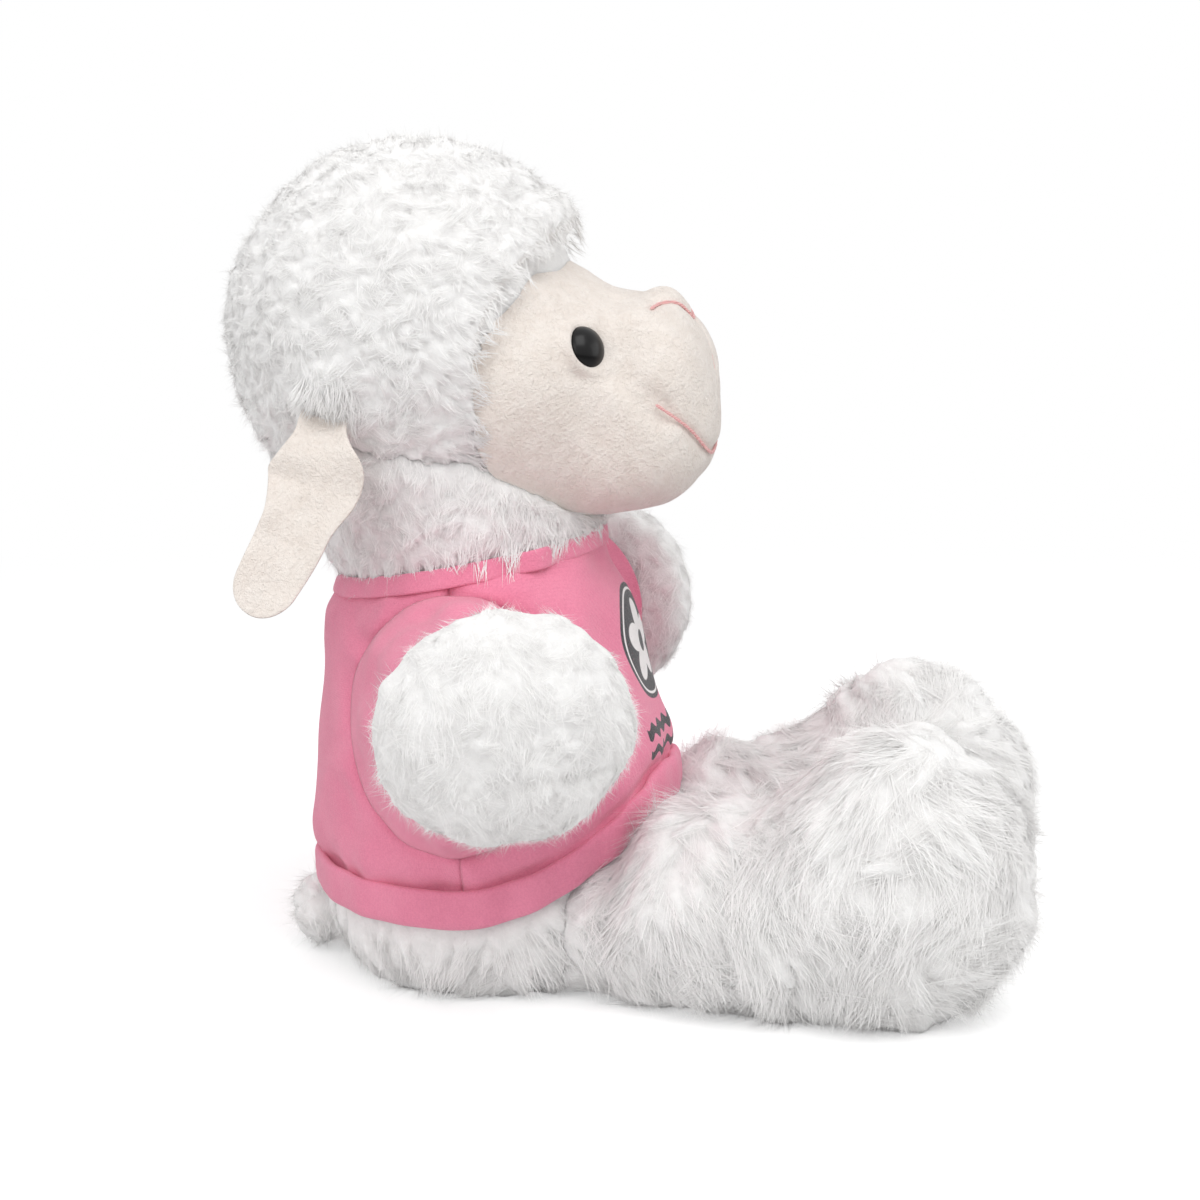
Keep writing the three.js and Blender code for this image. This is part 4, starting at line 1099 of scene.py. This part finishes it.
def thread(name, paths, node, radius=THREAD_RADIUS):
    """Embroidery: along each path, a round cord of thread whose radius swells with each stitch, sunk in the
    plush."""
    angle = full_turn(10)
    points, quads, fans, count = [], [], [], 0
    for path, sunk in paths:
        ahead = unit(np.gradient(path, axis=0))
        out = unit(path - muzzle_centre)
        out = unit(out - (out * ahead).sum(1, keepdims=True) * ahead)
        aside = np.cross(out, ahead)
        length = np.concatenate([[0], np.cumsum(np.linalg.norm(np.diff(path, axis=0), axis=1))])
        swell = radius * (0.82 + 0.3 * np.abs(np.sin(length * math.pi / STITCH_LENGTH)))
        ends = np.sqrt(np.clip(np.minimum(length, length[-1] - length) / radius, 0.02, 1))
        centre = path - out * sunk
        ring = np.cos(angle)[None, :, None] * aside[:, None] + np.sin(angle)[None, :, None] * out[:, None]
        grid = centre[:, None] + ring * (swell * ends)[:, None, None]
        points += [grid.reshape(-1, 3), centre[:1], centre[-1:]]
        wall, ends = tube_faces(*grid.shape[:2])
        quads.append(wall + count)
        fans.append(ends + count)
        count += grid[..., 0].size + 2
    piece = mesh_piece(name, np.concatenate(points), np.concatenate(quads), np.concatenate(fans))
    dress(piece, "head", "thread", salmon_thread, node)


thread("nose_thread", [(nose_path, 0.2), (lip_path, 0.6)], "nose_stitching")
thread("mouth_thread", [(mouth_path, 0.25)], "mouth_stitching")


EYE_RADIUS, DOME_HEIGHT, SHANK_LENGTH = 5.0, 3.6, 8.4


def eye(side):
    """A safety eye: a lathed dome with a thin rim, on its shank. The dome's height is a quarter turn of an
    ellipse."""
    spot, axis = eye_spot[side], eye_axis[side]
    flat = unit(np.cross([0, 0, 1.0], axis))
    up = np.cross(axis, flat)
    quarter = np.linspace(0, np.pi / 2, 16)[:-1]
    shank = [(1.2, -SHANK_LENGTH), (1.5, -8.0), (1.5, -0.5), (4.7, -0.4), (4.95, -0.15)]
    dome = np.stack([EYE_RADIUS * np.cos(quarter), DOME_HEIGHT * np.sin(quarter)], -1)
    profile = np.concatenate([shank, dome])
    angle = full_turn(56)
    ring = np.cos(angle)[:, None] * flat + np.sin(angle)[:, None] * up
    base = spot - axis * 1.3
    grid = base + profile[:, 0, None, None] * ring + profile[:, 1, None, None] * axis
    piece = closed_tube(f"eye_{side}_dome", grid, base - axis * SHANK_LENGTH, base + axis * DOME_HEIGHT)
    dress(piece, "head", "eye_plastic", black_plastic, f"eye_{side}")


for side in SIDES:
    eye(side)


# Ears

EAR_LENGTH, SEWN_IN = 46, 5.0


def ear_layer(side, name, facing):
    """One layer of an ear: D-shaped sections along a centre line that hangs straight and then sweeps back,
    cupped across, pinched where it is sewn on, and with a soft fold below its rounded top."""
    sign = SIDES[side]
    tip = 7.0
    rounded = EAR_LENGTH - tip + tip * np.sin(np.linspace(0, np.pi / 2 - 0.08, 14))
    sewn_in = -SEWN_IN * np.cos(np.linspace(0.1, np.pi / 2, 6))
    place = np.concatenate([sewn_in, np.linspace(0, EAR_LENGTH - tip, 52)[1:-1], rounded])
    sweep = np.radians(eased(place, (9, 0), (20, 21), (36, 27), (46, 16)))[:, None]
    splay = math.radians(20)
    backwards, downwards = math.cos(splay) * np.sin(sweep), -math.cos(splay) * np.cos(sweep)
    way = np.hstack([sign * math.sin(splay) + 0 * sweep, backwards, downwards])
    step = np.diff(place, prepend=place[0])[:, None]
    centre = np.cumsum(way * step, 0)
    start = np.array([np.interp(0, place, centre[:, k]) for k in range(3)])
    centre = ear_root[side] + [0, 2.0, 0] + centre - start
    centre[:, 0] -= sign * 6.0 * (1 - smooth_step(-SEWN_IN, 10, place))
    across = unit(np.cross([sign, 0, 0], way))
    out = np.cross(way, across)
    share = np.sqrt(1 - np.clip((place - EAR_LENGTH + tip) / tip, 0, 1) ** 2)
    root = np.sqrt(1 - np.clip(-place / SEWN_IN, 0, 1) ** 2)
    width = eased(place, (-2, 4.8), (3, 5.4), (13, 10.4), (26, 7.6), (46, 6.6)) * share
    thick = eased(place, (0, 2.0), (8, 2.4), (15, 1.8), (30, 1.6), (46, 1.2)) * np.sqrt(share) * root
    cup = eased(place, (0, 3.4), (14, 1.9), (22, 2.4), (40, 1.2)) * share
    fold = 0.9 * np.exp(-((place - 8.5) / 4.5) ** 2) - 0.7 * np.exp(-((place - 15.5) / 2.6) ** 2)
    angle = full_turn(60)
    aside = np.cos(angle)[None, :] * width[:, None]
    bulge = np.maximum(facing * np.sin(angle), 0.0)[None, :] * thick[:, None] * facing
    folded = fold * np.sqrt(share * root)
    hollow = (np.cos(angle) ** 2 - 0.5) * cup[:, None] + folded[:, None]
    off = bulge + facing * 0.12 + hollow
    grid = centre[:, None] + aside[..., None] * across[:, None] + off[..., None] * out[:, None]
    grid = grid + out[:, None] * (uneven(grid, 9, 23) * 0.3)[..., None]
    piece = closed_tube(f"ear_{side}_{name}", grid)
    dress(piece, f"ear_{side}", "short_pile_plush", cream_plush, f"ear_{side}_{name}_layer")


for side in SIDES:
    ear_layer(side, "outer", 1)
    ear_layer(side, "inner", -1)


# T-shirt

JERSEY_EASE, JERSEY_THICKNESS = 1.5, 1.2
CHEST_RADIUS = 38
ARMHOLE_Y, ARMHOLE_Z, ARMHOLE_HALF_DEPTH, ARMHOLE_HALF_HEIGHT = 2.5, 63.5, 23, 26.5


def cut_area(corners):
    """The area in square metres of a smooth form's four-cornered faces, which is that of the flat cloth cut
    to fit it."""
    diagonals = np.cross(corners[:, 2] - corners[:, 0], corners[:, 3] - corners[:, 1])
    return float(np.linalg.norm(diagonals, axis=1).sum() / 2 * MM**2)


def armhole_reach(y, z):
    """How far a height and depth lie from the armhole's middle: 1 at its edge."""
    return np.hypot((y - ARMHOLE_Y) / ARMHOLE_HALF_DEPTH, (z - ARMHOLE_Z) / ARMHOLE_HALF_HEIGHT)


def cloth_folds(points, turn, z):
    """How far the cloth stands off: soft waves, gathers that fade upwards from the hem, tucks below the
    collar, and drag lines from the armholes."""
    y = points[..., 1]
    above_hem = z - hemline(y) - HEM_HEIGHT
    below_collar = neckline(y) - BAND_HEIGHT - z
    waves = 0.6 * uneven(points * np.array([1, 1, 0.45]), 15, 91)
    gathers = 0.5 * np.sin(turn * 17 + 2.2 * np.sin(turn * 3) + uneven(points, 20, 92))
    gathers = gathers * np.exp(-np.abs(above_hem) / 7)
    tucks = 1.0 * np.sin(turn * 9 + 1.3 * np.sin(turn * 2 + 1)) * np.exp(-np.abs(below_collar) / 8)
    puff = 0.8 * np.exp(-((above_hem - 6) / 5) ** 2) - 0.9 * np.exp(-(above_hem / 1.6) ** 2)
    hole = armhole_reach(y, z)
    way = np.arctan2(z - ARMHOLE_Z, y - ARMHOLE_Y)
    drag = 0.7 * np.sin(way * 7 + 3 * uneven(points, 25, 93)) * np.exp(-np.abs(hole - 1.1) / 0.2)
    seam = -0.8 * np.exp(-((hole - 1.04) / 0.035) ** 2)
    side_seam = -0.6 * np.exp(-(np.cos(turn) * CHEST_RADIUS / 0.9) ** 2)
    held = smooth_step(-2, 4, below_collar)
    return (waves + tucks + drag) * held + gathers + puff + seam + side_seam - slimness(turn, z)


def panel(name, middle_turn, material, node):
    """Half of the shirt's body, and the area of its cut: a grid over half a turn and from hem to collar,
    with its armholes cut out and their edges drawn on to the cut."""
    rows, columns = 84, 175
    turn = np.linspace(-math.pi / 2, math.pi / 2, columns) + middle_turn + np.zeros((rows, 1))
    share = np.linspace(0, 1, rows)[:, None]
    z = 30 + 60 * share + 0 * turn
    for _ in range(6):
        y = torso_point(turn, z, JERSEY_EASE)[..., 1]
        low, high = hemline(y) + HEM_HEIGHT - 3.2, neckline(y) - BAND_HEIGHT + 1.0
        z = low + (high - low) * share
    points = torso_point(turn, z, JERSEY_EASE)
    y = points[..., 1]
    reach = armhole_reach(y, z)
    inside = (reach < 1).ravel()
    faces = grid_faces(rows, columns, wrap=False)
    kept = faces[~inside[faces].all(1)]
    off = cloth_folds(points, turn, z)
    edge = np.maximum(reach, 1e-3)
    y = np.where(reach < 1, ARMHOLE_Y + (y - ARMHOLE_Y) / edge, y)
    z = np.where(reach < 1, ARMHOLE_Z + (z - ARMHOLE_Z) / edge, z)
    radius = torso_radius(z) + JERSEY_EASE
    moved = np.clip((torso_lean(z) - y) / radius, -1, 1)
    sign = np.where(points[..., 0] < 0, -1, 1)
    new_turn = np.where(reach < 1, sign * np.arccos(moved), turn)
    points = torso_point(new_turn, z, JERSEY_EASE + off)
    used, places = np.unique(kept, return_inverse=True)
    kept = places.reshape(kept.shape)
    piece = mesh_piece(name, points.reshape(-1, 3)[used], kept)
    wall = piece.modifiers.new("wall", "SOLIDIFY")
    wall.thickness, wall.offset = JERSEY_THICKNESS * MM, -1
    dress(piece, "torso", "jersey", material, node)
    unfolded = torso_point(new_turn, z, JERSEY_EASE)
    return piece, cut_area(unfolded.reshape(-1, 3)[used][kept])


front, front_area = panel("shirt_front", 0.0, printed_jersey, "shirt_front_panel")
back, back_area = panel("shirt_back", math.pi, pink_jersey, "shirt_back_panel")


def band(name, edge, height, thickness, ease, node, ripple):
    """A folded band round the torso: a rounded oblong section carried along the edge's line, gently
    rippled."""
    turn = full_turn(360)[:, None]
    angle = full_turn(24)
    z = 40 + 0 * turn
    for _ in range(8):
        z = edge(torso_point(turn, z, ease)[..., 1])
    lift = np.sign(np.sin(angle)) * np.abs(np.sin(angle)) ** 0.55 * height / 2
    stand = np.sign(np.cos(angle)) * np.abs(np.cos(angle)) ** 0.8 * thickness / 2
    rough = ripple * uneven(torso_point(turn, z, ease), 9, 95) - slimness(turn, z)
    points = torso_point(turn + 0 * angle, z + height / 2 + lift, ease + thickness / 2 + stand + rough)
    piece = closed_band(name, points[:, ::-1])
    dress(piece, "torso", "jersey", pink_jersey, node)
    return piece


def collar_line(y):
    """The collar's lower edge."""
    return neckline(y) - BAND_HEIGHT


hem = band("shirt_hem_fold", hemline, HEM_HEIGHT, 2.6, 0.6, "shirt_hem", 0.45)
collar = band("shirt_collar", collar_line, BAND_HEIGHT, 1.4, 0.9, "shirt_neckband", 0.5)


SLEEVE_BEND = (40, 52)


def sleeve(side):
    """A short sleeve: rings that pass from the armhole's outline on the shirt to a round cuff about the
    arm, as a closed tube of cloth with its thickness."""
    sign, axis = SIDES[side], arm_axis(side)
    flat = unit(np.cross([0, 0, 1], axis))
    up = np.cross(axis, flat)
    angle = full_turn(120)
    y = ARMHOLE_Y + sign * np.cos(angle) * (ARMHOLE_HALF_DEPTH + 1.4)
    z = ARMHOLE_Z + np.sin(angle) * (ARMHOLE_HALF_HEIGHT + 1.4)
    turn = np.arctan2(sign * CHEST_RADIUS, -y)
    radius = torso_radius(z) + JERSEY_EASE + 0.1 - slimness(turn, z)
    x = sign * TORSO_WIDTH_RATIO * np.sqrt(np.maximum(radius**2 - (y - torso_lean(z)) ** 2, 1))
    hole = np.stack([x, y, z], -1)
    cuff = shoulder[side] + 24 * axis + 20.3 * (np.cos(angle)[:, None] * flat + np.sin(angle)[:, None] * up)
    t = np.linspace(0, 1, 30)[:, None, None]
    outer = hole * (1 - t) + cuff * t
    area = cut_area(outer.reshape(-1, 3)[grid_faces(*outer.shape[:2])])
    bulge = 2.8 * np.sin(np.pi * t) * (1 - 0.3 * np.sin(angle)[:, None])
    outer = outer + np.array([sign, 0, 0]) * bulge
    folds = np.sin(angle * 6 + 1.4 * np.sin(angle * 2 + 0.6))[None, :] * np.sin(np.pi * t[..., 0]) ** 1.5
    outer = outer + outward(outer) * (0.75 * folds)[..., None]
    rough = uneven(outer, 11, 97) * 0.6 * np.sin(np.pi * np.clip(t + 0.1, 0, 1))[..., 0]
    outer = outer + outward(outer) * rough[..., None]
    inner = outer[::-1] - outward(outer)[::-1] * JERSEY_THICKNESS
    piece = closed_band(f"shirt_{side}_sleeve_cloth", np.concatenate([outer, inner]))
    piece.data.materials.append(pink_jersey)
    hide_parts(f"shirt_sleeve_{side}")
    start, end = (shoulder[side] * [0, 1, 1] + [sign * x, 0, 0] for x in SLEEVE_BEND)
    (start + toy_shift) * MM
    (end + toy_shift) * MM
    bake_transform(piece)


for side in SIDES:
    sleeve(side)


# Floor, light and background

def floor_disc():
    """A white floor of rings: matt, with a glow that lights nothing and only the camera sees. The glow is
    0.42 near the toy, where its shadow falls. Farther out the colour fades and the glow rises to 1, the
    plain white of the background."""
    radius = np.linspace(0.001, 0.9, 24) / MM
    angle = full_turn(64)
    ring = np.stack([np.cos(angle), np.sin(angle), 0 * angle], -1)
    grid = radius[:, None, None] * ring
    disc = mesh_piece("floor", grid.reshape(-1, 3) - toy_shift, grid_faces(*grid.shape[:2])[:, ::-1])
    finish = Finish("white_floor", Roughness=0.9, Specular_IOR_Level=0.0, Emission_Strength=1.0)
    _, x, y, _ = finish.places()
    out = ((x * x + (y + float(toy_shift[1])) ** 2).root()).clipped(170.0, 620.0)
    finish.feed("Base Color", finish.mixed(out, (0.78, 0.78, 0.78, 1), (0, 0, 0, 1)))
    seen = finish.node("ShaderNodeLightPath", output=0)
    finish.feed("Emission Color", finish.mixed(seen * (0.42 + out * 0.58), (0, 0, 0, 1), (1, 1, 1, 1)))
    disc.data.materials.append(finish.material)


floor_disc()


def soft_box(name, place, aim, size, power):
    """A square area lamp at a place in metres, turned towards a point."""
    data = bpy.data.lights.new(name, "AREA")
    data.shape, data.size, data.energy = "SQUARE", size, power
    lamp = bpy.data.objects.new(name, data)
    lamp.location = place
    lamp.rotation_mode = "QUATERNION"
    lamp.rotation_quaternion = (Vector(aim) - Vector(place)).to_track_quat("-Z", "Y")
    bpy.context.scene.collection.objects.link(lamp)


aim = (0, 0, 0.09)
soft_box("key_soft_box", (-0.6, -0.3, 1.1), aim, 0.9, 7.2)
soft_box("back_soft_box", (-0.95, 0.55, 0.45), aim, 0.9, 3.5)
soft_box("front_soft_box", (0.15, -1.1, 0.3), aim, 0.8, 2.2)


def pale_world():
    """A white background for the camera and in reflections, and a plain even light on everything else."""
    world = bpy.data.worlds.new("studio")
    bpy.context.scene.world = world
    world.use_nodes = True
    tree = world.node_tree
    tree.nodes.clear()
    seen, light = tree.nodes.new("ShaderNodeBackground"), tree.nodes.new("ShaderNodeBackground")
    seen.inputs["Color"].default_value, seen.inputs["Strength"].default_value = (1, 1, 1, 1), 1.0
    light.inputs["Color"].default_value, light.inputs["Strength"].default_value = (1, 1, 1, 1), 0.63
    path, choose = tree.nodes.new("ShaderNodeLightPath"), tree.nodes.new("ShaderNodeMath")
    choose.operation = "MAXIMUM"
    mix, out = tree.nodes.new("ShaderNodeMixShader"), tree.nodes.new("ShaderNodeOutputWorld")
    tree.links.new(path.outputs["Is Camera Ray"], choose.inputs[0])
    tree.links.new(path.outputs["Is Glossy Ray"], choose.inputs[1])
    tree.links.new(choose.outputs[0], mix.inputs[0])
    tree.links.new(light.outputs[0], mix.inputs[1])
    tree.links.new(seen.outputs[0], mix.inputs[2])
    tree.links.new(mix.outputs[0], out.inputs[0])


pale_world()
bpy.context.scene.view_settings.view_transform = "Standard"
